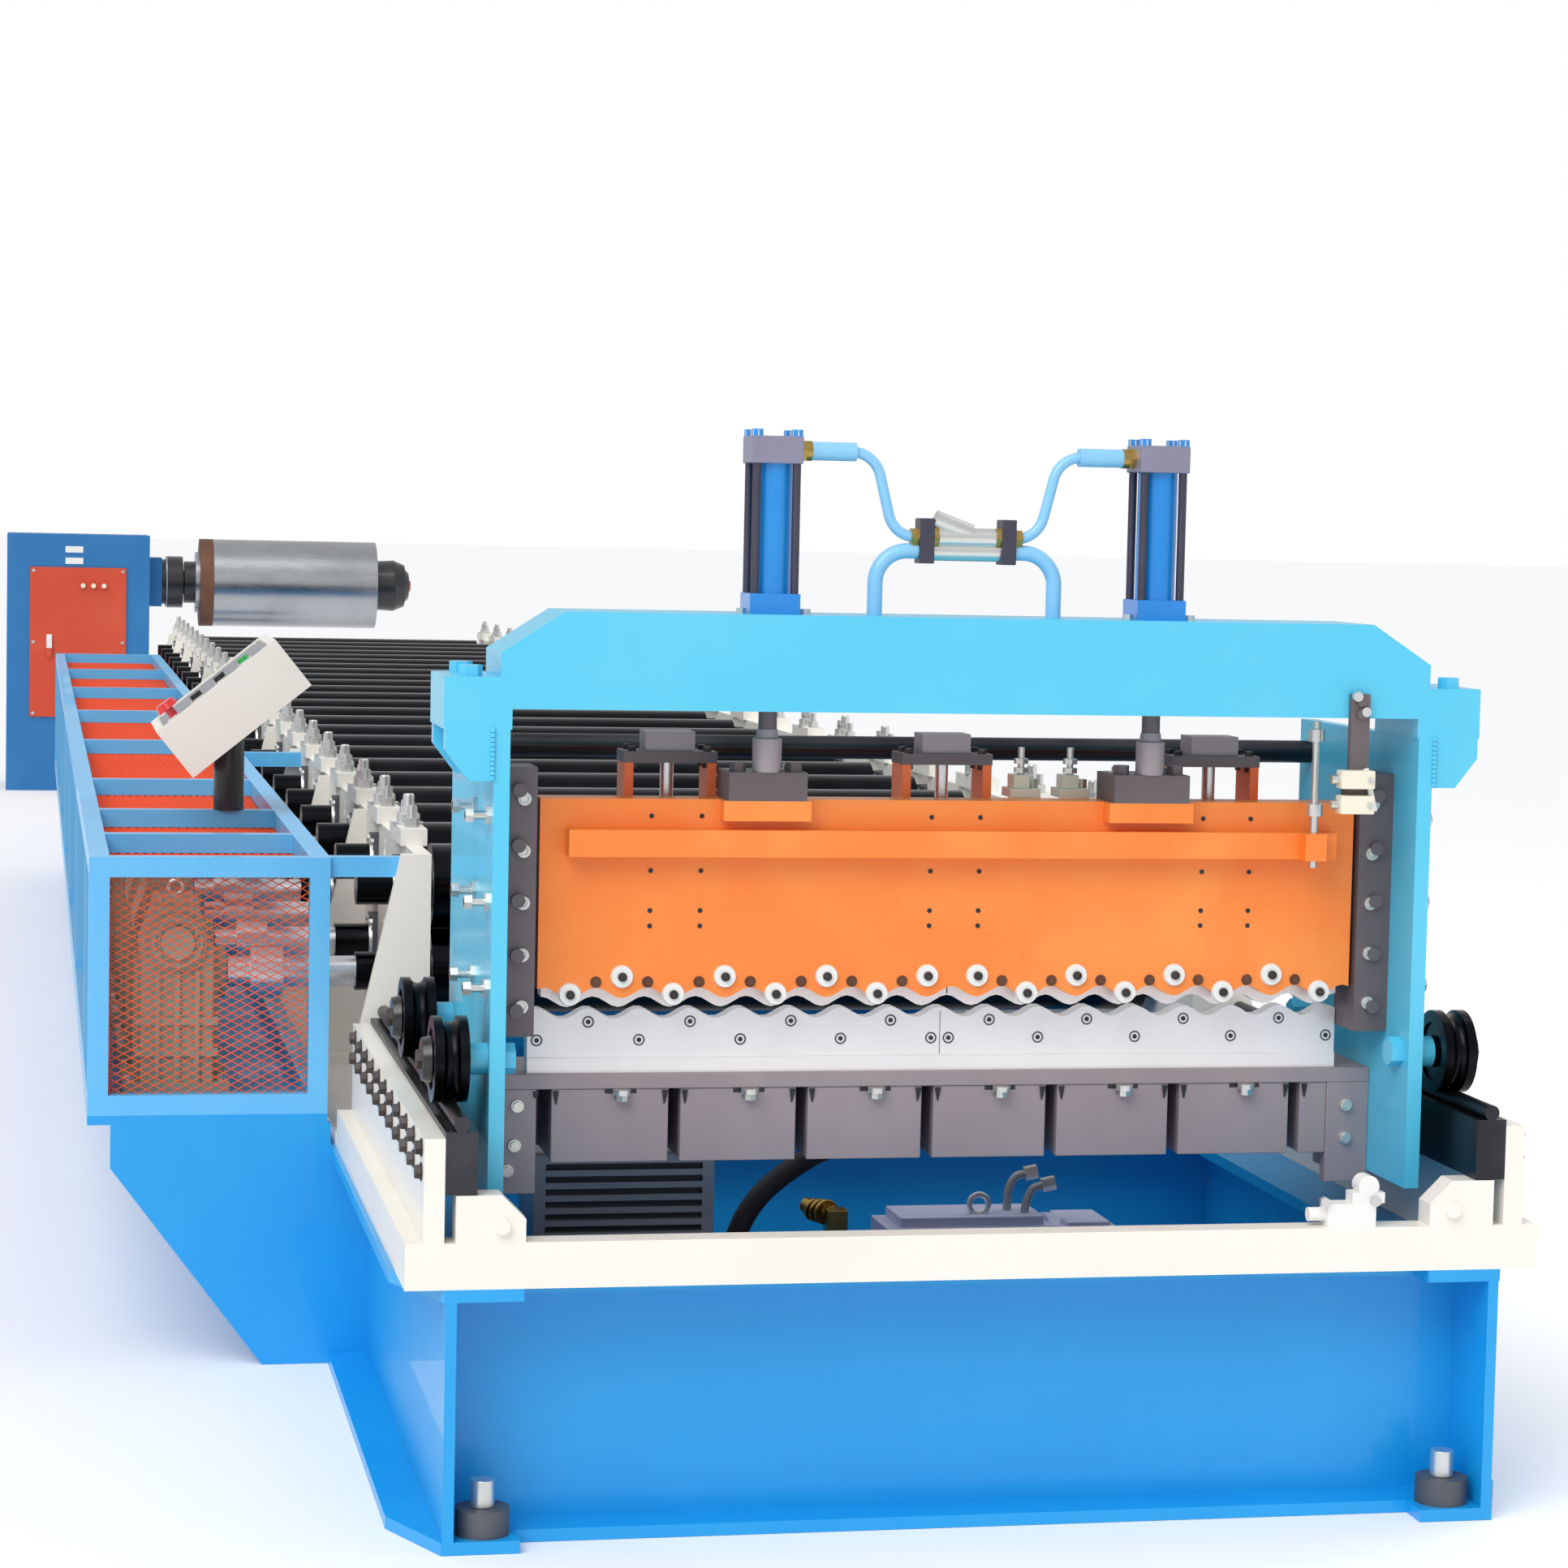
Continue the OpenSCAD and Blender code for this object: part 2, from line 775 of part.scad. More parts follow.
module guard_frame() {
    color("#6FC3F4") {
        for (z = [shelf_top, guard_top - guard_tube])
            for (x = [-guard_outer, -guard_inner - guard_tube])
                span(x, x + guard_tube, guard_front, guard_rear, z, z + guard_tube);
        for (y = [guard_front, guard_rear - guard_tube])
            for (x = [-guard_outer, -guard_inner - guard_tube])
                span(x, x + guard_tube, y, y + guard_tube, shelf_top + guard_tube, guard_top - guard_tube);
        for (y = [guard_front, guard_rear - guard_tube])
            for (z = [shelf_top, guard_top - guard_tube])
                guard_bar_x(-guard_outer + guard_tube, -guard_inner - guard_tube, y, z);
        for (y = [guard_bars_first : guard_bar_pitch : guard_rear - 3 * guard_tube]) {
            guard_bar_x(-guard_outer + guard_tube, -guard_inner - guard_tube, y, guard_top - guard_tube);
            span(-guard_outer, -guard_outer + guard_tube, y, y + guard_tube, shelf_top + guard_tube,
                 guard_top - guard_tube);
        }
        guard_bar_x(-guard_outer + guard_tube, -guard_inner - guard_tube, post_y - guard_tube / 2,
                    guard_top - guard_tube);
        for (y = [wall_front + buttress_thick + 2 : arm_pitch * 2 : guard_rear - arm_pitch])
            guard_bar_x(-guard_inner, -wall_outer, y, guard_top - guard_tube);
    }
}

module guard_mesh() {
    inner = guard_tube;
    color("#E8472B") {
        span(-guard_outer + inner, -guard_inner - inner, guard_front + guard_tube / 2,
             guard_front + guard_tube / 2 + mesh_thick, shelf_top + inner, guard_top - inner);
        span(-guard_outer + inner, -guard_inner - inner, guard_front + inner, guard_rear - inner,
             guard_top - inner - mesh_thick, guard_top - inner);
        span(-guard_outer + inner, -guard_outer + inner + mesh_thick, guard_front + inner,
             guard_rear - inner, shelf_top + inner, guard_top - inner - mesh_thick);
    }
}

module panel_post() {
    color("#2B2C30")
        difference() {
            rod_z(post_x, post_y, guard_top, box_middle, post_radius);
            translate([post_x, post_y, box_middle])
                rotate([0, -box_tilt, 0])
                    translate([0, 0, box_height])
                        cube([4 * box_length, 2 * box_width, 3 * box_height], center = true);
        }
}

// Places its children in the tilted frame of the panel box, with the button face upwards.
module on_box() {
    translate([post_x, post_y, box_middle])
        rotate([0, -box_tilt, 0])
            children();
}

module panel_box() {
    color("#F3F0E2")
        on_box()
            difference() {
                translate([-box_length / 2, -box_width / 2, -box_height / 2])
                    cube([box_length, box_width, box_height]);
                translate([-box_length / 2 + 14, -box_width / 2 + 14, box_height / 2 - 4])
                    cube([box_length - 28, box_width - 28, 5]);
            }
}

module panel_buttons() {
    color("#C8312B")
        on_box()
            for (i = [0 : 3])
                translate([-box_length / 2 + 40 + i * 50, -box_width / 2 + 50, box_height / 2 - 4]) {
                    cylinder(h = 12, r = 13);
                    cylinder(h = i == 0 ? 26 : 18, r = i == 0 ? 10 : 9);
                    if (i == 0)
                        translate([0, 0, 24])
                            cylinder(h = 10, r = 20);
                }
}

module oil_tank() {
    tank_left = cooler_left + cooler_width;
    color("#23508C") {
        span(tank_left, tank_left + tank_width, unit_front, unit_front + unit_length, unit_bottom, tank_top);
        span(tank_left, tank_left + tank_width, unit_front, unit_front + 14, tank_top, tank_top + 90);
        span(tank_left + 40, tank_left + tank_width - 20, unit_front + 60, unit_front + 260, tank_top,
             tank_top + 12);
        for (x = [tank_left + 12, tank_left + tank_width - 72])
            span(x, x + 60, unit_front, unit_front + unit_length, 0, unit_bottom);
    }
}

module pump_motor() {
    motor_left = cooler_left + cooler_width + tank_width - motor_length - 20;
    motor_y = unit_front + 160;
    motor_z = tank_top + 12 + motor_radius + 10;
    color("#C9CCE4")
        difference() {
            union() {
                rod_x(motor_left, motor_left + motor_length, motor_y, motor_z, motor_radius - 7);
                for (x = [motor_left : motor_length / 9 : motor_left + motor_length - 8])
                    rod_x(x, x + 8, motor_y, motor_z, motor_radius);
                rod_x(motor_left - 90, motor_left, motor_y, motor_z, motor_radius * 0.55);
                span(motor_left + 30, motor_left + motor_length - 30, motor_y - 60, motor_y + 60,
                     tank_top + 12, motor_z - 40);
            }
            rod_x(motor_left + motor_length - 6, motor_left + motor_length + 2, motor_y, motor_z,
                  motor_radius - 20);
        }
}

module oil_cooler() {
    rim = 16;
    louvre = 17;
    cooler_bottom = cooler_top - cooler_height;
    color("#9FA3A8")
        difference() {
            union() {
                span(cooler_left, cooler_left + cooler_width, unit_front, unit_front + cooler_depth,
                     cooler_bottom, cooler_top);
                for (x = [cooler_left, cooler_left + cooler_width - 40])
                    span(x, x + 40, unit_front, unit_front + cooler_depth, 0, cooler_bottom);
            }
            for (z = [cooler_bottom + rim : louvre : cooler_top - rim])
                span(cooler_left + rim, cooler_left + cooler_width - rim, unit_front - 1, unit_front + 12,
                     z, z + louvre / 2);
        }
}

module column(side) {
    color("#5CC0F2")
        on_side(side) {
            span(column_inner, column_outer, press_front, column_rear, column_bottom, column_top);
            span(column_inner - 2, beam_half_length, press_front, beam_rear, column_top,
                 column_top + seat_thick);
            for (y = [press_front, beam_rear - column_thick])
                plate_y(y, y + column_thick, [
                    [column_outer, column_top - gusset_height],
                    [column_outer + 32, column_top - gusset_height],
                    [beam_half_length - 2, column_top - gusset_edge],
                    [beam_half_length - 2, column_top],
                    [column_outer, column_top],
                ]);
            for (y = [wheel_front_y, wheel_rear_y]) {
                rod_x(column_outer, wheel_inner - 2, y, wheel_z, axle_radius * 1.7);
                rod_x(wheel_inner - 2, wheel_outer + 12, y, wheel_z, axle_radius);
                translate([column_inner - 16, y, wheel_z])
                    rotate([0, 90, 0])
                        cylinder(h = 16, r = 20, $fn = 6);
                rod_x(wheel_outer + 2, wheel_outer + 10, y, wheel_z, axle_radius * 1.6);
            }
        }
}

module column_left() column(-1);
module column_right() column(1);

module top_beam() {
    color("#7FDDFC")
        difference() {
            union() {
                span(-beam_half_length, beam_half_length, press_front, beam_rear, beam_bottom,
                     beam_bar_top);
                for (y = [press_front, beam_rear - beam_plate])
                    plate_y(y, y + beam_plate, [
                        [-beam_box_half, beam_bar_top],
                        [beam_box_half, beam_bar_top],
                        [beam_box_half, beam_bar_top + beam_end_rise],
                        [beam_box_half - beam_end_slope, beam_top],
                        [-beam_box_half + beam_end_slope, beam_top],
                        [-beam_box_half, beam_bar_top + beam_end_rise],
                    ]);
                both_sides() {
                    plate_y(press_front + beam_plate, beam_rear - beam_plate, [
                        [0, beam_top - beam_cover],
                        [beam_box_half - beam_end_slope - beam_cover / 2, beam_top - beam_cover],
                        [beam_box_half - beam_cover, beam_bar_top + beam_end_rise - beam_cover / 2],
                        [beam_box_half - beam_cover, beam_bar_top],
                        [beam_box_half, beam_bar_top],
                        [beam_box_half, beam_bar_top + beam_end_rise],
                        [beam_box_half - beam_end_slope, beam_top],
                        [0, beam_top],
                    ]);
                    for (x = [cylinder_x - cylinder_block, cylinder_x + cylinder_block - beam_cover])
                        span(x, x + beam_cover, press_front + beam_plate, beam_rear - beam_plate,
                             beam_bar_top, beam_top - beam_cover);
                    for (y = [press_front + 26, beam_rear - 26])
                        translate([(beam_box_half + beam_half_length) / 2, y, beam_bar_top])
                            cylinder(h = 14, r = 15, $fn = 6);
                }
            }
            for (x = [-cylinder_x, cylinder_x])
                rod_z(x, beam_middle, beam_bottom - 1, beam_top + 1, rod_radius + rod_gap);
        }
}

module cylinder_body(side) {
    half = cylinder_block / 2;
    tie = half - tie_rod_radius - 2;
    color("#3FA9EC")
        on_side(side)
            translate([cylinder_x, beam_middle, 0])
                difference() {
                    union() {
                        span(-half, half, -half, half, beam_top, beam_top + foot_height);
                        cylinder_tube();
                        span(-half, half, -half, half, beam_top + cylinder_length, cap_top);
                        for (x = [-tie, tie])
                            for (y = [-tie, tie]) {
                                rod_z(x, y, beam_top + foot_height, beam_top + cylinder_length,
                                      tie_rod_radius);
                                rod_z(x, y, cap_top, cap_top + 9, tie_rod_radius * 1.5);
                            }
                    }
                    rod_z(0, 0, beam_top - 1, beam_top + cylinder_length - 10, rod_radius + rod_gap);
                }
}

module cylinder_tube() {
    rod_z(0, 0, beam_top + foot_height, beam_top + cylinder_length, cylinder_radius);
}

module cylinder_left() cylinder_body(-1);
module cylinder_right() cylinder_body(1);

// A bend of round pipe in the X and Z plane, swept about the origin from the X axis.
module pipe_bend(bend, sweep, r) {
    rotate([90, 0, 0])
        rotate_extrude(angle = sweep)
            translate([bend, 0])
                circle(r = r);
}

// The pipe from a cylinder cap down to the tee: out, round a bend, down, and round a bend again.
module cap_pipe() {
    start_z = beam_top + cylinder_length + cap_height / 2;
    drop = start_z - tee_z;
    lean = 90 - pipe_turn;
    run = (drop - 2 * pipe_bend_radius * (1 - cos(pipe_turn))) / cos(lean);
    low_x = tee_half + 3;
    low_bend_x = low_x + pipe_bend_radius * sin(pipe_turn);
    start_x = low_bend_x + run * sin(lean) + pipe_bend_radius * sin(pipe_turn);
    rod_x(tee_half, low_x + 5, beam_middle, tee_z, pipe_radius + 2);
    translate([low_bend_x, beam_middle, tee_z + pipe_bend_radius * (1 - cos(pipe_turn))])
        rotate([0, lean, 0]) {
            cylinder(h = run, r = pipe_radius);
            translate([-pipe_bend_radius, 0, 0])
                mirror([0, 0, 1])
                    pipe_bend(pipe_bend_radius, pipe_turn, pipe_radius);
            translate([pipe_bend_radius, 0, run])
                mirror([1, 0, 0])
                    pipe_bend(pipe_bend_radius, pipe_turn, pipe_radius);
        }
    rod_x(start_x - 4, cylinder_x - cylinder_block / 2, beam_middle, start_z, pipe_radius + 5);
}

// The thicker pipe that comes up through the beam's cover and turns in to the tee.
module riser_pipe() {
    riser_x = tee_half + riser_bend + 14;
    rod_z(riser_x, beam_middle, beam_top, riser_z - riser_bend, riser_radius);
    translate([riser_x - riser_bend, beam_middle, riser_z - riser_bend])
        pipe_bend(riser_bend, 90, riser_radius);
    rod_x(tee_half - 10, riser_x - riser_bend, beam_middle, riser_z, riser_radius);
}

module oil_pipes() {
    color("#8CCBEF")
        both_sides() {
            cap_pipe();
            riser_pipe();
        }
}

module oil_tee() {
    color("#D7D9DC") {
        difference() {
            union() {
                rod_x(-tee_half, tee_half, beam_middle, tee_z, 13);
                rod_x(-tee_half, tee_half, beam_middle + 2, riser_z, 12);
                translate([tee_half * 0.1, beam_middle, tee_z + 6])
                    rotate([0, -70, 0])
                        cylinder(h = 52, r = 12);
            }
            both_sides() {
                rod_x(tee_half - 10, tee_half + 1, beam_middle, riser_z, riser_radius);
            }
        }
        both_sides()
            difference() {
                span(tee_half - 18, tee_half, beam_middle - 14, beam_middle + 16, riser_z - 15, tee_z + 24);
                rod_x(tee_half - 19, tee_half + 1, beam_middle, tee_z, 13);
                rod_x(tee_half - 19, tee_half + 1, beam_middle + 2, riser_z, 12);
                rod_x(tee_half - 19, tee_half + 1, beam_middle, riser_z, riser_radius);
            }
    }
}

module ram_guides() {
    guide_front = ram_front - 10;
    guide_rear = upper_blade_rear + 12;
    color("#77696D")
        both_sides() {
            span(column_inner - gib_thick, column_inner, guide_front, guide_rear, lower_beam_top + 58,
                 beam_bottom - 79);
            for (i = [0 : 4])
                rod_y(column_inner - gib_thick / 2, guide_front - 8, guide_front,
                      lower_beam_top + 92 + i * (beam_bottom - lower_beam_top - 200) / 4, 9);
        }
}

module lower_beam() {
    beam_front = die_front - 12;
    web_y = beam_front + 100;
    ribs = floor((die_half_width - 40) / lower_rib_pitch);
    beam_end = column_inner - lower_plate;
    color("#8E8286") {
        span(-beam_end, beam_end, beam_front, beam_front + lower_beam_depth, lower_beam_top - lower_plate,
             lower_beam_top);
        span(-beam_end, beam_end, web_y, web_y + lower_plate, lower_beam_bottom,
             lower_beam_top - lower_plate);
        for (i = [-ribs : ribs])
            span(i * lower_rib_pitch - 8, i * lower_rib_pitch + 8, beam_front + 10, web_y,
                 lower_beam_bottom, lower_beam_top - lower_plate);
        both_sides()
            span(beam_end, column_inner, beam_front, beam_front + lower_beam_depth, end_plate_bottom,
                 lower_beam_top);
    }
}

module lower_blade() {
    strip = 20;
    color("#E9EAEC") {
        plate_y(die_front, die_front + blade_thick, concat(
            [[die_half_width, lower_beam_top + strip], [-die_half_width, lower_beam_top + strip]],
            wavy_edge(die_half_width, pass_height)
        ));
        span(-die_half_width, die_half_width, die_front - 3, die_front + blade_thick, lower_beam_top,
             lower_beam_top + strip);
    }
}

module travel_switch() {
    switch_right = stop_inner - 60;
    switch_z = base_height + bed_bar_height;
    color("#F0F0EC") {
        span(switch_right - 78, switch_right - 12, front_y + 4, front_y + 34, switch_z, switch_z + 30);
        span(switch_right - 44, switch_right, front_y + 6, front_y + 32, switch_z + 30, switch_z + 44);
        rod_y(switch_right - 22, front_y + 6, front_y + 32, switch_z + 52, 14);
        rod_x(switch_right - 100, switch_right - 78, front_y + 19, switch_z + 15, 9);
    }
}

module switch_strip() {
    strip_x = column_inner - 86;
    strip_front = press_front - 10;
    color("#5CC0F2") {
        span(strip_x - 13, strip_x + 13, strip_front, press_front, beam_bottom - 123, beam_bar_top - 8);
        for (z = [beam_bottom - 90, beam_bottom - 123])
            span(strip_x - 30, strip_x + 14, strip_front - 22, strip_front, z, z + 22);
        for (z = [beam_bottom + 6, beam_bottom + 22])
            rod_y(strip_x, strip_front - 5, strip_front, z, 6);
    }
}

module tie_bar() {
    color("#2E2F33")
        rod_x(-column_inner, column_inner, column_rear - 40, tie_height, tie_radius);
}

module wheel(side, y) {
    groove_radius = ridge_radius + wheel_gap;
    groove_middle = wheel_radius - groove_depth + groove_radius;
    color("#2A2B2F")
        on_side(side)
            translate([rail_middle, y, wheel_z])
                rotate([0, 90, 0])
                    difference() {
                        translate([0, 0, -wheel_width / 2])
                            cylinder(h = wheel_width, r = wheel_radius);
                        rotate_extrude()
                            translate([groove_middle, 0])
                                circle(r = groove_radius);
                        translate([0, 0, -wheel_width / 2 - 1])
                            cylinder(h = wheel_width + 2, r = axle_radius + wheel_gap);
                        for (z = [-wheel_width / 2 - 1, wheel_width / 2 - 3])
                            translate([0, 0, z])
                                difference() {
                                    cylinder(h = 4, r = wheel_radius - 16);
                                    cylinder(h = 4, r = axle_radius * 1.8);
                                }
                    }
}

module wheel_front_left() wheel(-1, wheel_front_y);
module wheel_front_right() wheel(1, wheel_front_y);
module wheel_rear_left() wheel(-1, wheel_rear_y);
module wheel_rear_right() wheel(1, wheel_rear_y);

module ram_plate() {
    plate_bottom = blade_line + blade_edge;
    color("#F98A35") {
        plate_y(ram_front, upper_blade_front, concat(
            [[ram_half_width, ram_top], [-ram_half_width, ram_top]],
            wavy_edge(ram_half_width, plate_bottom)
        ));
        span(-rib_half_length, rib_half_length, ram_front - rib_depth, ram_front, rib_bottom,
             rib_bottom + rib_height);
        span(-ram_half_width, ram_half_width, upper_blade_front, upper_blade_rear,
             blade_line + blade_height, ram_top);
        both_sides()
            span(cylinder_x - coupler_width / 2 - 6, cylinder_x + coupler_width / 2 + 6,
                 ram_front - rib_depth, ram_front, ram_top - 26, ram_top);
    }
}

module upper_blade() {
    color("#ECEDEF")
        difference() {
            plate_y(upper_blade_front, upper_blade_rear, concat(
                [
                    [blade_half_width, blade_line + blade_height],
                    [-blade_half_width, blade_line + blade_height],
                ],
                wavy_edge(blade_half_width, blade_line)
            ));
        }
}

module sheet_presses() {
    ear = 12;
    foot_y = upper_blade_rear;
    head = ram_top + ear_rise;
    color("#D4572A")
        for (x = [-press_pitch, 0, press_pitch]) {
            for (dx = [-press_width / 2, press_width / 2 - ear])
                span(x + dx, x + dx + ear, foot_y, foot_y + 60, ram_top - 60, head);
            span(x - press_width / 2, x + press_width / 2, foot_y, foot_y + 60, head, head + 10);
            span(x - 32, x + 32, foot_y + 6, foot_y + 54, head + 10, beam_bottom - 36);
            rod_z(x, foot_y + 30, ram_top - 60, head, 8);
            span(x - press_width / 2, x + press_width / 2, foot_y, foot_y + 60, ram_top - 80,
                 ram_top - 60);
        }
}

module rod_couplers() {
    color("#8A8588")
        both_sides() {
            span(cylinder_x - coupler_width / 2, cylinder_x + coupler_width / 2, ram_front - rib_depth,
                 upper_blade_rear, ram_top, ram_top + coupler_height);
            rod_z(cylinder_x, beam_middle, ram_top + coupler_height, beam_top + foot_height + stroke,
                  rod_radius);
            for (dx = [-1, 1])
                translate([cylinder_x + dx * coupler_width * 0.36, ram_front - 8, ram_top + coupler_height])
                    cylinder(h = 12, r = 11, $fn = 6);
        }
}

module stroke_rod() {
    rod_x_place = rib_half_length - 37;
    rod_y_place = ram_front - rib_depth - 12;
    color("#D9DBDE") {
        rod_z(rod_x_place, rod_y_place, rib_bottom - 10, beam_bottom - 7, 5);
        for (z = [rib_bottom + rib_height + 24, beam_bottom - 34])
            rod_z(rod_x_place, rod_y_place, z, z + 16, 11);
        span(rod_x_place - 14, rod_x_place + 14, rod_y_place - 12, ram_front - rib_depth, rib_bottom,
             rib_bottom + rib_height);
    }
}

module coil_cabinet() {
    foot = 80;
    hub = 2 * spindle_radius;
    cabinet_right = cabinet_left + cabinet_width;
    color("#2F78B0")
        difference() {
            union() {
                span(cabinet_left, cabinet_right, cabinet_front, cabinet_rear, cabinet_feet,
                     cabinet_height);
                for (y = [cabinet_front, cabinet_rear - foot])
                    span(cabinet_left, drum_left + drum_width / 2, y, y + foot, 0, cabinet_feet);
                span(cabinet_right, cabinet_right + foot * 0.75, drum_y - hub, drum_y + hub,
                     drum_height - hub, drum_height + hub);
            }
            rod_x(cabinet_right - 20, cabinet_right + foot, drum_y, drum_height, spindle_radius);
        }
}

module cabinet_panel() {
    panel_left = cabinet_left + panel_inset;
    panel_skin = 8;
    panel_top = panel_bottom + panel_height;
    color("#D9442A") {
        span(panel_left, panel_left + panel_width, cabinet_front - panel_skin, cabinet_front,
             panel_bottom, panel_top);
        span(panel_left + panel_width * 0.18, panel_left + panel_width * 0.18 + 20,
             cabinet_front - panel_skin - 18, cabinet_front - panel_skin,
             panel_bottom + panel_height * 0.4, panel_bottom + panel_height * 0.55);
        for (i = [0 : 2])
            rod_y(panel_left + panel_width * 0.55 + i * 46, cabinet_front - panel_skin - 14,
                  cabinet_front - panel_skin, panel_top - 81, 14);
    }
}

module coil_spindle() {
    color("#4A4D52") {
        rod_x(cabinet_left + cabinet_width - 20, drum_left + drum_width + 90, drum_y, drum_height,
              spindle_radius);
        rod_x(drum_left + drum_width + 90, drum_left + drum_width + 130, drum_y, drum_height,
              spindle_radius + 20);
    }
}

module coil_drum() {
    color("#C9CBCE")
        difference() {
            union() {
                rod_x(drum_left, drum_left + drum_width, drum_y, drum_height, drum_radius);
                rod_x(drum_left - 20, drum_left, drum_y, drum_height, drum_radius * 0.7);
                rod_x(drum_left + drum_width, drum_left + drum_width + 80, drum_y, drum_height,
                      spindle_radius + 36);
            }
            rod_x(drum_left - 21, drum_left + drum_width + 81, drum_y, drum_height,
                  spindle_radius + drum_gap);
            for (end = [drum_left - 1, drum_left + drum_width - 60])
                difference() {
                    rod_x(end, end + 61, drum_y, drum_height, drum_radius - 26);
                    rod_x(end - 1, end + 62, drum_y, drum_height, drum_radius * 0.7);
                }
        }
}

base_beam_left();
base_beam_right();
base_cross_beams();
levelling_feet();
front_rail();
track_side_left();
track_side_right();
track_rail_left();
track_rail_right();
travel_switch();
side_wall_left();
side_wall_right();
bearing_blocks();
adjusting_screws();
top_rollers();
bottom_rollers();
drive_arms();
gearbox_row();
drive_shafts();
guard_frame();
guard_mesh();
panel_post();
panel_box();
panel_buttons();
oil_tank();
pump_motor();
oil_cooler();
column_left();
column_right();
top_beam();
cylinder_left();
cylinder_right();
oil_tee();
oil_pipes();
ram_guides();
lower_beam();
lower_blade();
switch_strip();
tie_bar();
wheel_front_left();
wheel_front_right();
wheel_rear_left();
wheel_rear_right();
ram_plate();
upper_blade();
sheet_presses();
rod_couplers();
stroke_rod();
coil_cabinet();
cabinet_panel();
coil_spindle();
coil_drum();
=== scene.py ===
"""The roll forming machine: finishes, fastenings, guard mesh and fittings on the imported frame."""
import logging
import math
from dataclasses import dataclass, field
from enum import Enum
from typing import Callable, Iterable, Sequence

import bmesh
import bpy
from mathutils import Matrix, Vector


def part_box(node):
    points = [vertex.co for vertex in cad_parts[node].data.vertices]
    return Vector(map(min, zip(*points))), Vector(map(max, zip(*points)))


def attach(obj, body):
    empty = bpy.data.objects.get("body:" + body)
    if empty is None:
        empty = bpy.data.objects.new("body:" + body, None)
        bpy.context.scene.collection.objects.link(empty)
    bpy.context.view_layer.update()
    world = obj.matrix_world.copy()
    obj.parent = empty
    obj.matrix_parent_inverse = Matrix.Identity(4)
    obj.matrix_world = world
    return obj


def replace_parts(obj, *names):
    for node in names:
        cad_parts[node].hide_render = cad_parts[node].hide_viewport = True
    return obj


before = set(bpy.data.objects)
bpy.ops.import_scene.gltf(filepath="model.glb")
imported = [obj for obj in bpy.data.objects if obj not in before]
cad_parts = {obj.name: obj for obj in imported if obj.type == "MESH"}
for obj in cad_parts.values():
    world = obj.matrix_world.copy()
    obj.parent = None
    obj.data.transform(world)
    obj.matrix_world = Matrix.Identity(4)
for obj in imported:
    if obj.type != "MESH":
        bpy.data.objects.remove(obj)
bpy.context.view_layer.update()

logging.basicConfig(level=logging.INFO, format="%(message)s")
LOG = logging.getLogger("roll_forming_machine")

Point = tuple[float, float, float]
MM = 0.001


class Body(str, Enum):
    """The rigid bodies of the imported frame."""

    FRAME = "frame"
    PRESS = "press"
    RAM = "ram"
    DRUM = "coil_drum"


class Side(Enum):
    """The two sides of the machine, seen from its exit end."""

    LEFT = -1
    RIGHT = 1


def srgb(code: str) -> tuple[float, float, float, float]:
    """Turns an sRGB hex code into a linear colour.

    Args:
        code: The colour as "#RRGGBB".

    Returns:
        Linear red, green, blue and alpha.
    """
    channels = [int(code[i:i + 2], 16) / 255 for i in (1, 3, 5)]
    linear = [c / 12.92 if c <= 0.04045 else ((c + 0.055) / 1.055) ** 2.4 for c in channels]
    return (linear[0], linear[1], linear[2], 1.0)


def add_node(tree: bpy.types.NodeTree, kind: str, settings: dict | None = None,
             links: dict | None = None) -> bpy.types.Node:
    """Adds a node, sets its values and links its inputs.

    Args:
        tree: The node tree to add to.
        kind: The node's type name.
        settings: Attribute names, or input names or indices, with their values.
        links: Input names or indices with the output sockets that feed them.

    Returns:
        The new node.
    """
    node = tree.nodes.new(kind)
    for key, value in (settings or {}).items():
        if isinstance(key, str) and hasattr(node, key):
            setattr(node, key, value)
        else:
            node.inputs[key].default_value = value
    for key, socket in (links or {}).items():
        tree.links.new(socket, node.inputs[key])
    return node


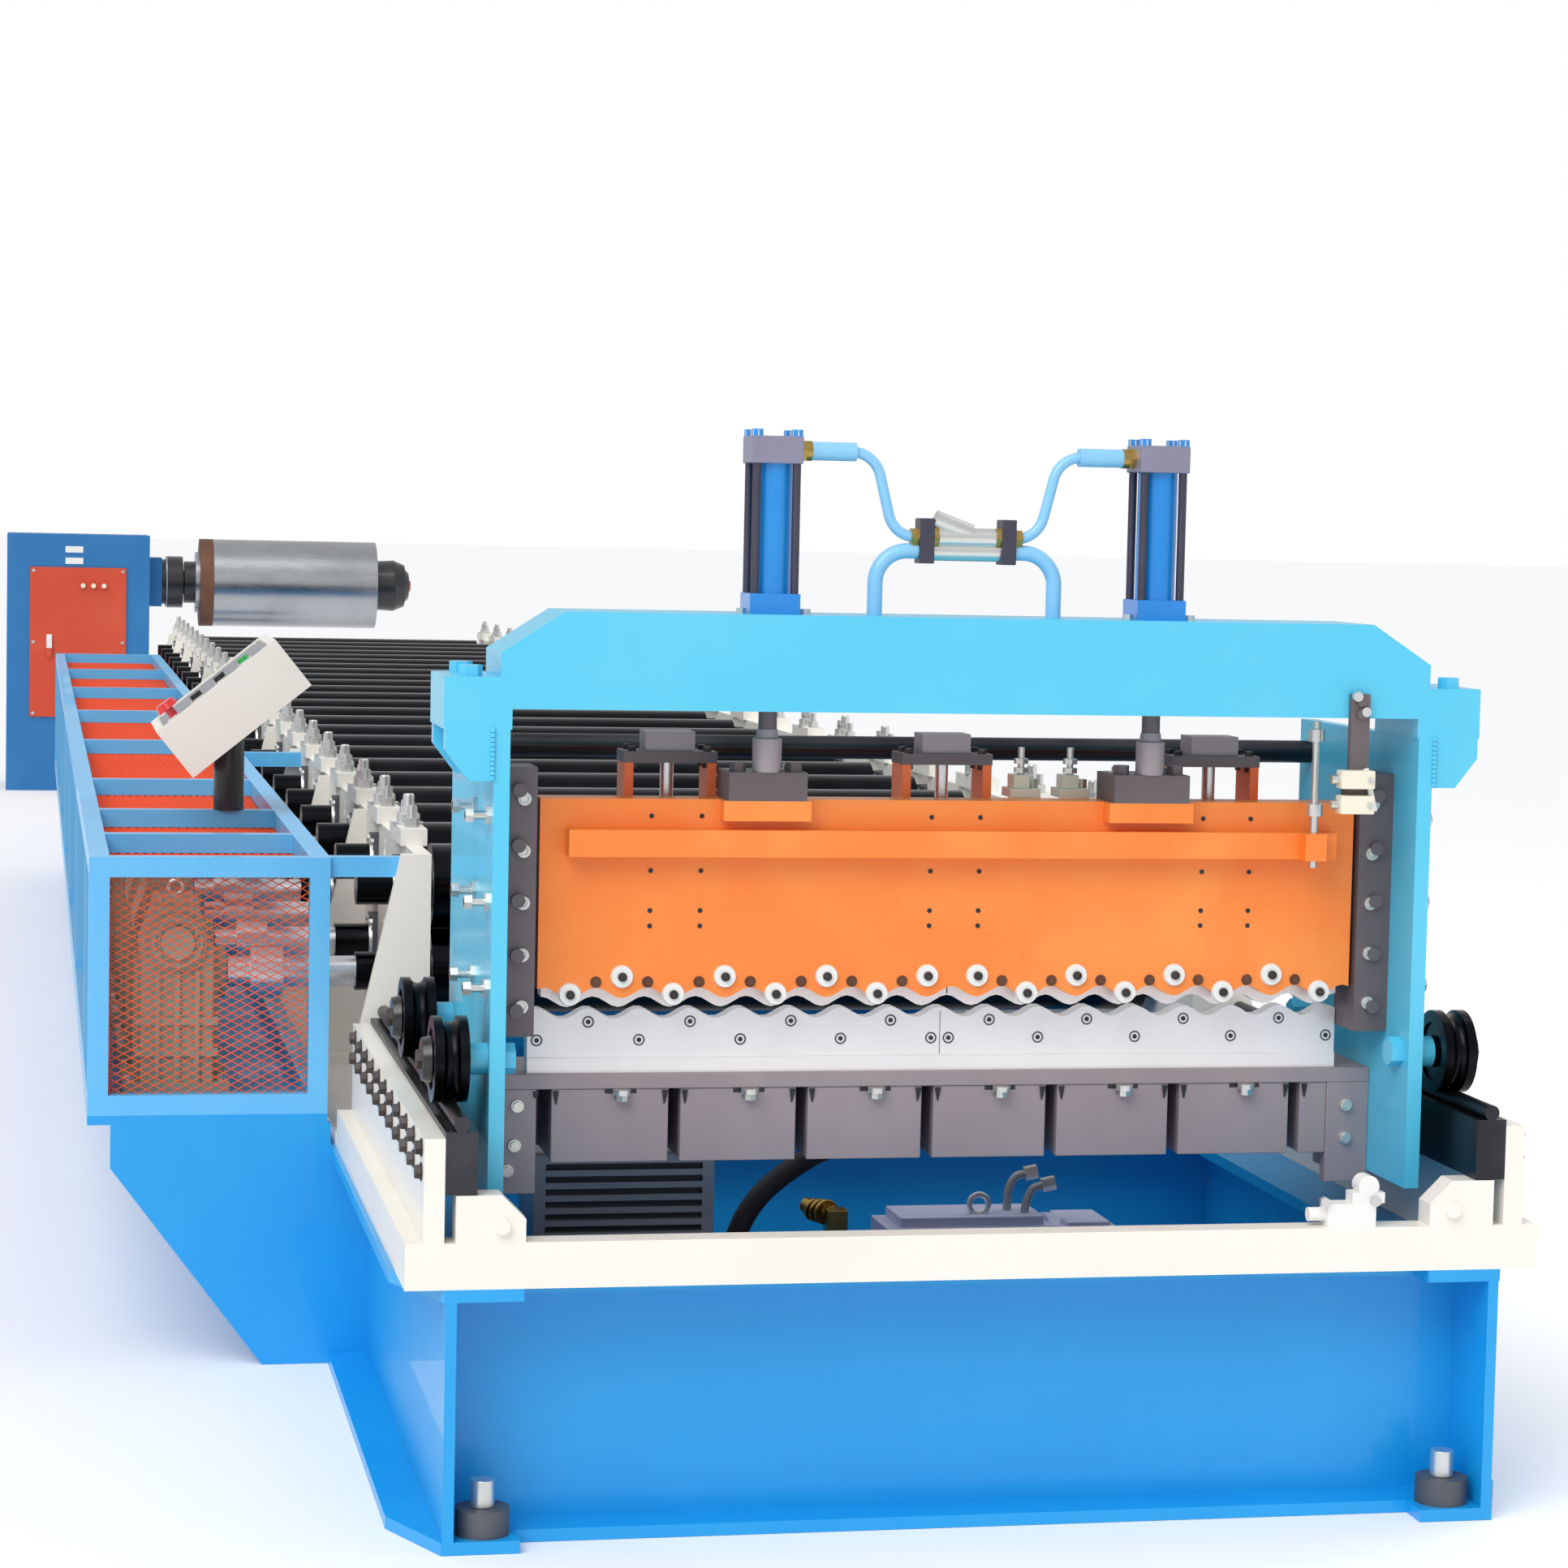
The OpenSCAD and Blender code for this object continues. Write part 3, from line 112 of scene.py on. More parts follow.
@dataclass(frozen=True)
class Finish:
    """A surface finish whose pattern reads Object coordinates.

    Attributes:
        title: The material's name in plain words.
        colour: Main colour as a hex code.
        wear_and_sheen: Colour of the lighter or dirtier patches; on the orange paint the lighter patches are
            painted sheen.
        rough: Mean roughness.
        metal: Metallic value.
        spread: Share of the second colour in the patches.
        grain: Scale of the fine grain, per metre.
        bump: Height of the fine grain.
        coat: Clear coat weight.
        stretch: Stretch of the grain along the axes, for brushed and turned metal.
    """

    title: str
    colour: str
    wear_and_sheen: str
    rough: float = 0.4
    metal: float = 0.0
    spread: float = 0.35
    grain: float = 60.0
    bump: float = 0.04
    coat: float = 0.0
    stretch: Point = (1.0, 1.0, 1.0)

    def build(self) -> bpy.types.Material:
        """Makes the finish's node material once.

        Returns:
            The material.
        """
        known = bpy.data.materials.get(self.title)
        if known:
            return known
        material = bpy.data.materials.new(self.title)
        material.use_nodes = True
        tree = material.node_tree
        shader = tree.nodes["Principled BSDF"]
        place = add_node(tree, "ShaderNodeTexCoord")
        lean = add_node(tree, "ShaderNodeMapping", {"Scale": self.stretch},
                        {"Vector": place.outputs["Object"]})
        cloud = add_node(tree, "ShaderNodeTexNoise",
                         {"Scale": self.grain * 0.06, "Detail": 5.0, "Roughness": 0.6},
                         {"Vector": place.outputs["Object"]})
        fine = add_node(tree, "ShaderNodeTexNoise", {"Scale": self.grain, "Detail": 4.0},
                        {"Vector": lean.outputs["Vector"]})
        patches = add_node(tree, "ShaderNodeMapRange",
                           {"From Min": 0.42, "From Max": 0.72, "To Min": 0.0, "To Max": self.spread},
                           {"Value": cloud.outputs["Fac"]})
        # The second colour gives wear patches on most finishes, and painted sheen on the orange paint.
        tint = add_node(tree, "ShaderNodeMix", {"data_type": "RGBA"},
                        {0: patches.outputs["Result"]})
        tint.inputs[6].default_value = srgb(self.colour)
        tint.inputs[7].default_value = srgb(self.wear_and_sheen)
        tree.links.new(tint.outputs[2], shader.inputs["Base Color"])
        dull = add_node(tree, "ShaderNodeMapRange",
                        {"To Min": max(self.rough - 0.08, 0.03), "To Max": min(self.rough + 0.1, 1.0)},
                        {"Value": fine.outputs["Fac"]})
        tree.links.new(dull.outputs["Result"], shader.inputs["Roughness"])
        relief = add_node(tree, "ShaderNodeBump", {"Strength": self.bump, "Distance": 0.002},
                          {"Height": fine.outputs["Fac"]})
        tree.links.new(relief.outputs["Normal"], shader.inputs["Normal"])
        shader.inputs["Metallic"].default_value = self.metal
        shader.inputs["Coat Weight"].default_value = self.coat
        shader.inputs["IOR"].default_value = 1.5
        material.diffuse_color = srgb(self.colour)
        return material


class Paint:
    """Every finish of the machine, in the maker's plain words."""

    SKY = Finish("sky blue paint", "#0A9DE2", "#1CAAEC", 0.38, spread=0.4, coat=0.25)
    PRESS = Finish("light sky blue paint", "#52C5E8", "#72D3F0", 0.36, spread=0.35, coat=0.25)
    GUARD = Finish("pale blue paint", "#5DB9EE", "#7FCBF4", 0.4, spread=0.35, coat=0.2)
    CYLINDER = Finish("cylinder blue paint", "#0E86D8", "#2FA2EC", 0.3, spread=0.3, coat=0.4)
    CREAM = Finish("cream paint", "#F0EDE3", "#E2DDCF", 0.42, spread=0.3, coat=0.15)
    # The orange paint's lighter patches are painted sheen.
    ORANGE = Finish("orange paint", "#FB8430", "#FFAA52", 0.42, spread=0.55, coat=0.15)
    RED_ORANGE = Finish("red orange paint", "#FA7238", "#FF9048", 0.45, spread=0.4)
    MESH = Finish("red mesh paint", "#F45E30", "#DE4E2A", 0.5, spread=0.3)
    TANK = Finish("dark blue paint", "#123F74", "#1E5793", 0.4, spread=0.4, coat=0.2)
    MOTOR = Finish("pale motor paint", "#CDD2EE", "#B9BFE0", 0.45, spread=0.3)
    CABINET = Finish("cabinet blue paint", "#2272B0", "#3A87C0", 0.42, spread=0.35)
    PANEL_RED = Finish("panel red paint", "#D04628", "#E67048", 0.45, spread=0.3)
    BLACK = Finish("black paint", "#1D1E21", "#3A3B40", 0.32, spread=0.4, coat=0.3)
    PIPE = Finish("pipe blue paint", "#86C6EC", "#A6D8F4", 0.35, spread=0.3, coat=0.2)


class Metal:
    """The bare metals and cast parts."""

    ROLLER = Finish("dark oiled roller steel", "#1E1F22", "#36373C", 0.17, 1.0, 0.4, 90.0, 0.02,
                    stretch=(0.15, 3.0, 3.0))
    WHEEL = Finish("black turned steel", "#1B1C1F", "#3A3B40", 0.25, 1.0, 0.4, 120.0, 0.03,
                   stretch=(6.0, 1.0, 1.0))
    RAIL = Finish("black rail steel", "#3B3C40", "#606166", 0.35, 1.0, 0.5, 80.0, 0.03,
                  stretch=(3.0, 0.3, 3.0))
    BLADE = Finish("bright blade steel", "#F5F3F3", "#E6E3E3", 0.32, 0.3, 0.35, 160.0, 0.01)
    GUIDE = Finish("dark guide steel", "#6A6063", "#7E7477", 0.5, 0.35, 0.5, 90.0, 0.05)
    CAP = Finish("grey cap steel", "#8E8CA2", "#A09EB2", 0.4, 0.4, 0.4, 90.0, 0.04)
    TIE = Finish("dark tie rod steel", "#4A4856", "#5E5C6C", 0.4, 0.6, 0.4, 90.0, 0.04)
    HOSE_GREY = Finish("grey braided hose", "#9EA3A8", "#B8BCC0", 0.45, 0.5, 0.4, 200.0, 0.1)
    MILL = Finish("mill scale steel", "#A4979A", "#B4A9AB", 0.55, 0.35, 0.5, 70.0, 0.06)
    GROUND = Finish("ground steel", "#E2E3E6", "#C6C8CC", 0.26, 0.85, 0.35, 160.0, 0.02,
                    stretch=(0.4, 3.0, 3.0))
    ZINC = Finish("zinc plated steel", "#DDDEDA", "#B9B8AE", 0.32, 0.9, 0.4, 140.0, 0.03)
    SCREW = Finish("black screw steel", "#4A4544", "#6E6765", 0.42, 0.9, 0.4, 140.0, 0.03)
    DRUM = Finish("polished drum steel", "#B7B9BC", "#8D9093", 0.24, 1.0, 0.5, 60.0, 0.03,
                  stretch=(0.2, 2.0, 2.0))
    IRON = Finish("grey cast iron", "#5C5F64", "#74777B", 0.55, 0.5, 0.4, 220.0, 0.12)
    CAST = Finish("grey green casting paint", "#AAAC98", "#C2C4B0", 0.5, 0.0, 0.4, 200.0, 0.12)
    BRASS = Finish("brass", "#B99A55", "#9C8148", 0.3, 1.0, 0.4, 120.0, 0.03)
    LOUVRE = Finish("grey louvred sheet", "#9A9CA2", "#B4B6BC", 0.38, 0.6, 0.3, 90.0, 0.03)
    BROWN = Finish("brown oxide ring", "#6E4A38", "#8A6650", 0.6, 0.4, 0.5, 90.0, 0.08)


class Plastic:
    """The moulded parts."""

    RED = Finish("red button plastic", "#D8232A", "#E5484C", 0.25, coat=0.5, spread=0.2)
    GREEN = Finish("green button plastic", "#1FA34A", "#45BF69", 0.25, coat=0.5, spread=0.2)
    BLACK = Finish("black plastic", "#1B1C1F", "#34353A", 0.35, spread=0.3)
    CREAM = Finish("cream plastic", "#EDE8D2", "#DDD6BC", 0.35, spread=0.3)
    WHITE = Finish("white plastic", "#F0F0EC", "#D9DAD6", 0.35, spread=0.3)
    HOSE = Finish("black rubber hose", "#1C1C1E", "#333337", 0.6, spread=0.3, bump=0.1)


NODE_FINISH: dict[str, Finish] = {
    "base_beam_left": Paint.SKY, "base_beam_right": Paint.SKY, "base_cross_beams": Paint.SKY,
    "drive_arms": Paint.SKY, "levelling_feet": Metal.IRON, "front_rail": Paint.CREAM,
    "track_side_left": Paint.CREAM, "track_side_right": Paint.CREAM,
    "track_rail_left": Metal.RAIL, "track_rail_right": Metal.RAIL,
    "side_wall_left": Paint.CREAM, "side_wall_right": Paint.CREAM,
    "bearing_blocks": Metal.IRON, "adjusting_screws": Metal.ZINC,
    "top_rollers": Metal.ROLLER, "bottom_rollers": Metal.ROLLER,
    "gearbox_row": Metal.CAST, "drive_shafts": Metal.GROUND, "guard_frame": Paint.GUARD,
    "panel_post": Paint.BLACK, "panel_box": Paint.CREAM,
    "oil_tank": Paint.TANK, "pump_motor": Paint.MOTOR, "oil_cooler": Metal.LOUVRE,
    "column_left": Paint.PRESS, "column_right": Paint.PRESS, "top_beam": Paint.PRESS,
    "cylinder_left": Paint.CYLINDER, "cylinder_right": Paint.CYLINDER,
    "oil_tee": Metal.ZINC, "oil_pipes": Paint.PIPE, "ram_guides": Metal.GUIDE,
    "lower_beam": Metal.MILL, "lower_blade": Metal.BLADE, "switch_strip": Metal.GUIDE,
    "tie_bar": Metal.RAIL, "wheel_front_left": Metal.WHEEL, "wheel_front_right": Metal.WHEEL,
    "wheel_rear_left": Metal.WHEEL, "wheel_rear_right": Metal.WHEEL,
    "ram_plate": Paint.ORANGE, "upper_blade": Metal.BLADE, "sheet_presses": Paint.RED_ORANGE,
    "rod_couplers": Metal.GUIDE, "stroke_rod": Metal.ZINC,
    "coil_cabinet": Paint.CABINET, "cabinet_panel": Paint.PANEL_RED,
    "coil_spindle": Paint.BLACK, "coil_drum": Metal.DRUM, "travel_switch": Plastic.WHITE,
}

ROUNDED_EDGE: dict[str, float] = {
    "base_beam_left": 2.0, "base_beam_right": 2.0, "front_rail": 3.0, "track_side_left": 2.0,
    "track_side_right": 2.0, "column_left": 2.0, "column_right": 2.0, "top_beam": 2.0,
    "ram_guides": 1.2, "lower_beam": 1.5, "guard_frame": 2.5, "panel_box": 4.0, "oil_tank": 3.0,
    "rod_couplers": 1.5, "coil_cabinet": 6.0, "cabinet_panel": 2.0, "oil_cooler": 1.5,
    "track_rail_left": 1.0, "track_rail_right": 1.0, "gearbox_row": 4.0,
}


class Sketch:
    """Gathers simple solids in one mesh and turns them into a finished piece."""

    def __init__(self, name: str) -> None:
        """Starts an empty mesh.

        Args:
            name: The piece's name.
        """
        self.name = name
        self.mesh = bmesh.new()

    def block(self, low: Sequence[float], high: Sequence[float],
              turn: Matrix | None = None) -> "Sketch":
        """Adds a block between two corners in millimetres.

        Args:
            low: Lowest corner.
            high: Highest corner.
            turn: A place for the block, applied after its corners.

        Returns:
            This sketch.
        """
        low_v, high_v = Vector(low) * MM, Vector(high) * MM
        made = bmesh.ops.create_cube(self.mesh, size=1.0)["verts"]
        scale = Matrix.Diagonal((*(high_v - low_v), 1.0))
        bmesh.ops.transform(self.mesh, verts=made,
                            matrix=(turn or Matrix()) @ Matrix.Translation((low_v + high_v) / 2) @ scale)
        return self

    def rod(self, start: Sequence[float], end: Sequence[float], radius: float,
            tip: float | None = None, sides: int = 24, turn: Matrix | None = None) -> "Sketch":
        """Adds a round or many-sided bar between two points in millimetres.

        Args:
            start: Middle of the first end.
            end: Middle of the other end.
            radius: Radius at the first end.
            tip: Radius at the other end, when it differs.
            sides: Number of sides.
            turn: A place for the bar.

        Returns:
            This sketch.
        """
        a, b = Vector(start) * MM, Vector(end) * MM
        made = bmesh.ops.create_cone(self.mesh, cap_ends=True, segments=sides, radius1=radius * MM,
                                     radius2=(radius if tip is None else tip) * MM,
                                     depth=(b - a).length)["verts"]
        facing = Vector((0, 0, 1)).rotation_difference(b - a).to_matrix().to_4x4()
        bmesh.ops.transform(self.mesh, verts=made,
                            matrix=(turn or Matrix()) @ Matrix.Translation((a + b) / 2) @ facing)
        return self

    def ring(self, middle: Sequence[float], axis: Sequence[float], radius: float, wire: float,
             sides: int = 28, wire_sides: int = 10) -> "Sketch":
        """Adds a round ring of round wire.

        Args:
            middle: The ring's middle in millimetres.
            axis: The direction through the ring.
            radius: Radius to the wire's middle.
            wire: Radius of the wire.
            sides: Steps around the ring.
            wire_sides: Steps around the wire.

        Returns:
            This sketch.
        """
        facing = Vector((0, 0, 1)).rotation_difference(Vector(axis)).to_matrix().to_4x4()
        place = Matrix.Translation(Vector(middle) * MM) @ facing
        loops = []
        for i in range(sides):
            a = 2 * math.pi * i / sides
            loop = []
            for j in range(wire_sides):
                b = 2 * math.pi * j / wire_sides
                out = radius + wire * math.cos(b)
                point = Vector((out * math.cos(a), out * math.sin(a), wire * math.sin(b))) * MM
                loop.append(self.mesh.verts.new(place @ point))
            loops.append(loop)
        for i in range(sides):
            near, far = loops[i], loops[(i + 1) % sides]
            for j in range(wire_sides):
                k = (j + 1) % wire_sides
                self.mesh.faces.new((near[j], far[j], far[k], near[k]))
        return self

    def span(self, x: Sequence[float], y: Sequence[float], z: Sequence[float]) -> "Sketch":
        """Adds a block between limits that may come in any order.

        Args:
            x: Two limits across the machine.
            y: Two limits along the machine.
            z: Two limits in height.

        Returns:
            This sketch.
        """
        return self.block((min(x), min(y), min(z)), (max(x), max(y), max(z)))

    def tube(self, points: Sequence[Sequence[float]], radius: float, sides: int = 16,
             steps: int = 8) -> "Sketch":
        """Adds a round hose along a smooth path through points in millimetres.

        Args:
            points: The path's points.
            radius: Radius of the hose.
            sides: Number of sides.
            steps: Steps between two points.

        Returns:
            This sketch.
        """
        knots = [Vector(p) for p in points]
        knots = [knots[0] * 2 - knots[1], *knots, knots[-1] * 2 - knots[-2]]
        path = []
        for a, b, c, d in zip(knots, knots[1:], knots[2:], knots[3:]):
            for i in range(steps):
                t = i / steps
                path.append(0.5 * (b * 2 + (c - a) * t + (a * 2 - b * 5 + c * 4 - d) * t ** 2
                                   + (b * 3 - a - c * 3 + d) * t ** 3))
        path.append(knots[-2])
        loops, across = [], Vector((0, 1, 0))
        for i, point in enumerate(path):
            ahead = (path[min(i + 1, len(path) - 1)] - path[max(i - 1, 0)]).normalized()
            across = (across - ahead * across.dot(ahead)).normalized()
            other = ahead.cross(across)
            turns = [2 * math.pi * j / sides for j in range(sides)]
            loops.append([self.mesh.verts.new((point + across * radius * math.cos(a)
                                               + other * radius * math.sin(a)) * MM) for a in turns])
        for near, far in zip(loops, loops[1:]):
            for j in range(sides):
                k = (j + 1) % sides
                self.mesh.faces.new((near[j], near[k], far[k], far[j]))
        self.mesh.faces.new(loops[0])
        self.mesh.faces.new(loops[-1])
        return self

    def piece(self, body: Body, finish: Finish, slot: str, bevel: float = 0.0,
              smooth: bool = True) -> bpy.types.Object:
        """Turns the sketch into a piece that rides on a body.

        Args:
            body: The body it moves with.
            finish: Its finish.
            slot: Not used.
            bevel: Edge rounding in millimetres.
            smooth: Whether round faces are shaded smooth.

        Returns:
            The piece.
        """
        bmesh.ops.recalc_face_normals(self.mesh, faces=self.mesh.faces)
        data = bpy.data.meshes.new(self.name)
        self.mesh.to_mesh(data)
        self.mesh.free()
        obj = bpy.data.objects.new(self.name, data)
        bpy.context.scene.collection.objects.link(obj)
        obj.data.materials.append(finish.build())
        if smooth:
            shade_by_angle(obj)
        if bevel:
            round_edges(obj, bevel)
        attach(obj, body.value)
        LOG.info("%s: %d faces", self.name, len(data.polygons))
        return obj


def shade_by_angle(obj: bpy.types.Object, degrees: float = 35.0) -> None:
    """Shades a mesh smooth, with edges sharper than an angle kept sharp.

    Args:
        obj: The mesh object.
        degrees: The sharpest angle that stays smooth.
    """
    data = obj.data
    work = bmesh.new()
    work.from_mesh(data)
    for face in work.faces:
        face.smooth = True
    limit = math.radians(degrees)
    for edge in work.edges:
        edge.smooth = len(edge.link_faces) == 2 and edge.calc_face_angle(0.0) < limit
    work.to_mesh(data)
    work.free()


def round_edges(obj: bpy.types.Object, width: float) -> None:
    """Rounds the sharp edges with a Bevel modifier.

    Args:
        obj: The object.
        width: Rounding in millimetres.
    """
    bevel = obj.modifiers.new("rounded edges", "BEVEL")
    bevel.width = width * MM
    bevel.segments = 2
    bevel.limit_method = "ANGLE"
    bevel.angle_limit = math.radians(40)
    bevel.harden_normals = True


class RowNodes:
    """A node group that repeats one piece along two directions."""

    @staticmethod
    def build() -> bpy.types.NodeTree:
        """Makes the group once.

        Returns:
            The geometry node group.
        """
        known = bpy.data.node_groups.get("repeat in rows")
        if known:
            return known
        tree = bpy.data.node_groups.new("repeat in rows", "GeometryNodeTree")
        face = tree.interface
        face.new_socket("Geometry", in_out="INPUT", socket_type="NodeSocketGeometry")
        for title, kind in (("Source", "Object"), ("Material", "Material"), ("Count", "Int"),
                            ("Step", "Vector"), ("Rows", "Int"), ("Row Step", "Vector")):
            face.new_socket(title, in_out="INPUT", socket_type=f"NodeSocket{kind}")
        face.new_socket("Geometry", in_out="OUTPUT", socket_type="NodeSocketGeometry")
        given = add_node(tree, "NodeGroupInput")
        result = add_node(tree, "NodeGroupOutput")
        lines = [
            add_node(tree, "GeometryNodeMeshLine", {"mode": "OFFSET", "Start Location": (0, 0, 0)},
                     {"Count": given.outputs[count], "Offset": given.outputs[step]})
            for count, step in (("Count", "Step"), ("Rows", "Row Step"))
        ]
        grid = add_node(tree, "GeometryNodeInstanceOnPoints", {},
                        {"Points": lines[1].outputs["Mesh"], "Instance": lines[0].outputs["Mesh"]})
        points = add_node(tree, "GeometryNodeRealizeInstances", {},
                          {"Geometry": grid.outputs["Instances"]})
        source = add_node(tree, "GeometryNodeObjectInfo", {}, {"Object": given.outputs["Source"]})
        copies = add_node(tree, "GeometryNodeInstanceOnPoints", {},
                          {"Points": points.outputs["Geometry"],
                           "Instance": source.outputs["Geometry"]})
        real = add_node(tree, "GeometryNodeRealizeInstances", {},
                        {"Geometry": copies.outputs["Instances"]})
        painted = add_node(tree, "GeometryNodeSetMaterial", {},
                           {"Geometry": real.outputs["Geometry"],
                            "Material": given.outputs["Material"]})
        tree.links.new(painted.outputs["Geometry"], result.inputs["Geometry"])
        return tree


@dataclass
class Pattern:
    """A fastening or fitting that repeats along the machine.

    Attributes:
        name: The piece's name.
        body: The body it rides on.
        finish: Its finish.
        slot: Not used.
        draw: Draws the first one in a sketch.
        count: How many there are along the first direction.
        step: Distance between them in millimetres.
        rows: How many rows there are.
        row_step: Distance between the rows in millimetres.
    """

    name: str
    body: Body
    finish: Finish
    slot: str
    draw: Callable[[Sketch], None]
    count: int = 1
    step: Point = (0.0, 0.0, 0.0)
    rows: int = 1
    row_step: Point = (0.0, 0.0, 0.0)

    def build(self) -> bpy.types.Object:
        """Makes the repeated piece.

        Returns:
            The piece, with all its copies in one mesh.
        """
        sketch = Sketch(self.name + "_one")
        self.draw(sketch)
        bmesh.ops.recalc_face_normals(sketch.mesh, faces=sketch.mesh.faces)
        data = bpy.data.meshes.new(sketch.name)
        sketch.mesh.to_mesh(data)
        sketch.mesh.free()
        first = bpy.data.objects.new(sketch.name, data)
        bpy.context.scene.collection.objects.link(first)
        host = bpy.data.objects.new(self.name + "_host", bpy.data.meshes.new("host"))
        bpy.context.scene.collection.objects.link(host)
        modifier = host.modifiers.new("repeat", "NODES")
        group = RowNodes.build()
        modifier.node_group = group
        values = {
            "Source": first, "Material": self.finish.build(), "Count": self.count,
            "Step": [c * MM for c in self.step], "Rows": self.rows,
            "Row Step": [c * MM for c in self.row_step],
        }
        for item in group.interface.items_tree:
            if item.item_type == "SOCKET" and item.in_out == "INPUT" and item.name in values:
                modifier[item.identifier] = values[item.name]
        bpy.context.view_layer.update()
        shape = host.evaluated_get(bpy.context.evaluated_depsgraph_get())
        mesh = bpy.data.meshes.new_from_object(shape)
        piece = bpy.data.objects.new(self.name, mesh)
        bpy.context.scene.collection.objects.link(piece)
        for spare in (host, first):
            bpy.data.objects.remove(spare, do_unlink=True)
        if not piece.data.materials:
            piece.data.materials.append(self.finish.build())
        shade_by_angle(piece)
        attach(piece, self.body.value)
        LOG.info("%s: %d copies, %d faces", self.name, self.count * self.rows, len(mesh.polygons))
        return piece


def low(node: str) -> Vector:
    """The lowest corner of a CAD node in millimetres.

    Args:
        node: The node's name.

    Returns:
        The corner.
    """
    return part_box(node)[0] / MM


def high(node: str) -> Vector:
    """The highest corner of a CAD node in millimetres.

    Args:
        node: The node's name.

    Returns:
        The corner.
    """
    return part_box(node)[1] / MM


@dataclass
class FrameFinishes:
    """Gives every CAD node its finish and edge rounding."""

    finishes: dict[str, Finish] = field(default_factory=lambda: NODE_FINISH)
    edges: dict[str, float] = field(default_factory=lambda: ROUNDED_EDGE)

    def build(self) -> None:
        """Assigns the materials to the CAD objects."""
        for node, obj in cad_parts.items():
            finish = self.finishes.get(node)
            if finish is None:
                continue
            material = finish.build()
            if not obj.data.materials:
                obj.data.materials.append(material)
            for holder in obj.material_slots:
                holder.material = material
            if node in self.edges:
                round_edges(obj, self.edges[node])
            LOG.info("%s: %s", node, finish.title)


def hex_bolt(x: float, y: float, z: float, axis: Point, size: float,
             washer: float = 0.0) -> Callable[[Sketch], None]:
    """A hexagon bolt head that stands out of a face, with a washer if it has one.

    Args:
        x: Place across the machine, in millimetres.
        y: Place along the machine.
        z: Height.
        axis: The direction in which the head stands out.
        size: Radius of the head across its corners.
        washer: Radius of the washer, or 0.

    Returns:
        A function that draws it.
    """
    def draw(sketch: Sketch) -> None:
        """Draws one bolt.

        Args:
            sketch: The sketch to draw into.
        """
        start, out = Vector((x, y, z)), Vector(axis).normalized()
        seat = size * 0.2 if washer else 0.0
        if washer:
            sketch.rod(start, start + out * seat, washer, sides=24)
        sketch.rod(start + out * seat, start + out * (seat + size * 0.75), size, size * 0.94, 6)
    return draw


def socket_screw(x: float, y: float, z: float, axis: Point, size: float,
                 washer: float = 0.0) -> Callable[[Sketch], None]:
    """A round screw head with a hexagon socket, and a domed washer if it has one.

    Args:
        x: Place across the machine, in millimetres.
        y: Place along the machine.
        z: Height.
        axis: The direction in which the head stands out.
        size: Radius of the head.
        washer: Radius of the washer, or 0.

    Returns:
        A function that draws it.
    """
    def draw(sketch: Sketch) -> None:
        """Draws one screw.

        Args:
            sketch: The sketch to draw into.
        """
        start, out = Vector((x, y, z)), Vector(axis).normalized()
        seat = size * 0.35 if washer else 0.0
        if washer:
            sketch.rod(start, start + out * seat, washer, washer * 0.9, 28)
        sketch.rod(start + out * seat, start + out * (seat + size * 0.7), size, size * 0.95, 20)
        sketch.ring(start + out * (seat + size * 0.72), axis, size * 0.62, size * 0.16, 18, 6)
    return draw


@dataclass(frozen=True)
class Bed:
    """Places of the roller stations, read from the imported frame.

    Attributes:
        count: Number of stations.
        first: Place of the first station.
        pitch: Distance between the stations.
        wall: Inner face of the side walls.
        upper: Height of the top rollers' axes.
        lower: Height of the bottom rollers' axes.
    """

    count: int
    first: float
    pitch: float
    wall: float
    upper: float
    lower: float

    @classmethod
    def read(cls, count: int = 24, wall_thick: float = 25.0, proud: float = 8.0) -> "Bed":
        """Reads the places from the CAD nodes.

        Args:
            count: Number of stations.
            wall_thick: Thickness of a side wall.
            proud: How far a bearing block stands out of its wall.

        Returns:
            The places in millimetres.
        """
        top, bottom = [(low(name), high(name)) for name in ("top_rollers", "bottom_rollers")]
        radius = (top[1].z - top[0].z) / 2
        first = top[0].y + radius
        return cls(count, first, (top[1].y - radius - first) / (count - 1),
                   high("bearing_blocks").x - proud - wall_thick, (top[0].z + top[1].z) / 2,
                   (bottom[0].z + bottom[1].z) / 2)


@dataclass
class PressTrack:
    """Bolts of the cream track sides and of the front rail.

    Attributes:
        face: Outer face of the track sides, from the machine's middle.
        first: Place of the first bolt along the track.
        pitch: Distance between the bolts.
        count: Bolts in a row.
    """

    face: float = 716.0
    first: float = -72.0
    pitch: float = 95.0
    count: int = 11

    def build(self) -> None:
        """Makes the bolt rows."""
        for side in Side:
            x = side.value * self.face
            Pattern(f"track_bolts_{side.name.lower()}", Body.FRAME, Metal.SCREW, "black_steel",
                    hex_bolt(x, self.first, 475, (side.value, 0, 0), 9.5, 11.5),
                    self.count, (0, self.pitch, 0), 2, (0, 0, 30)).build()


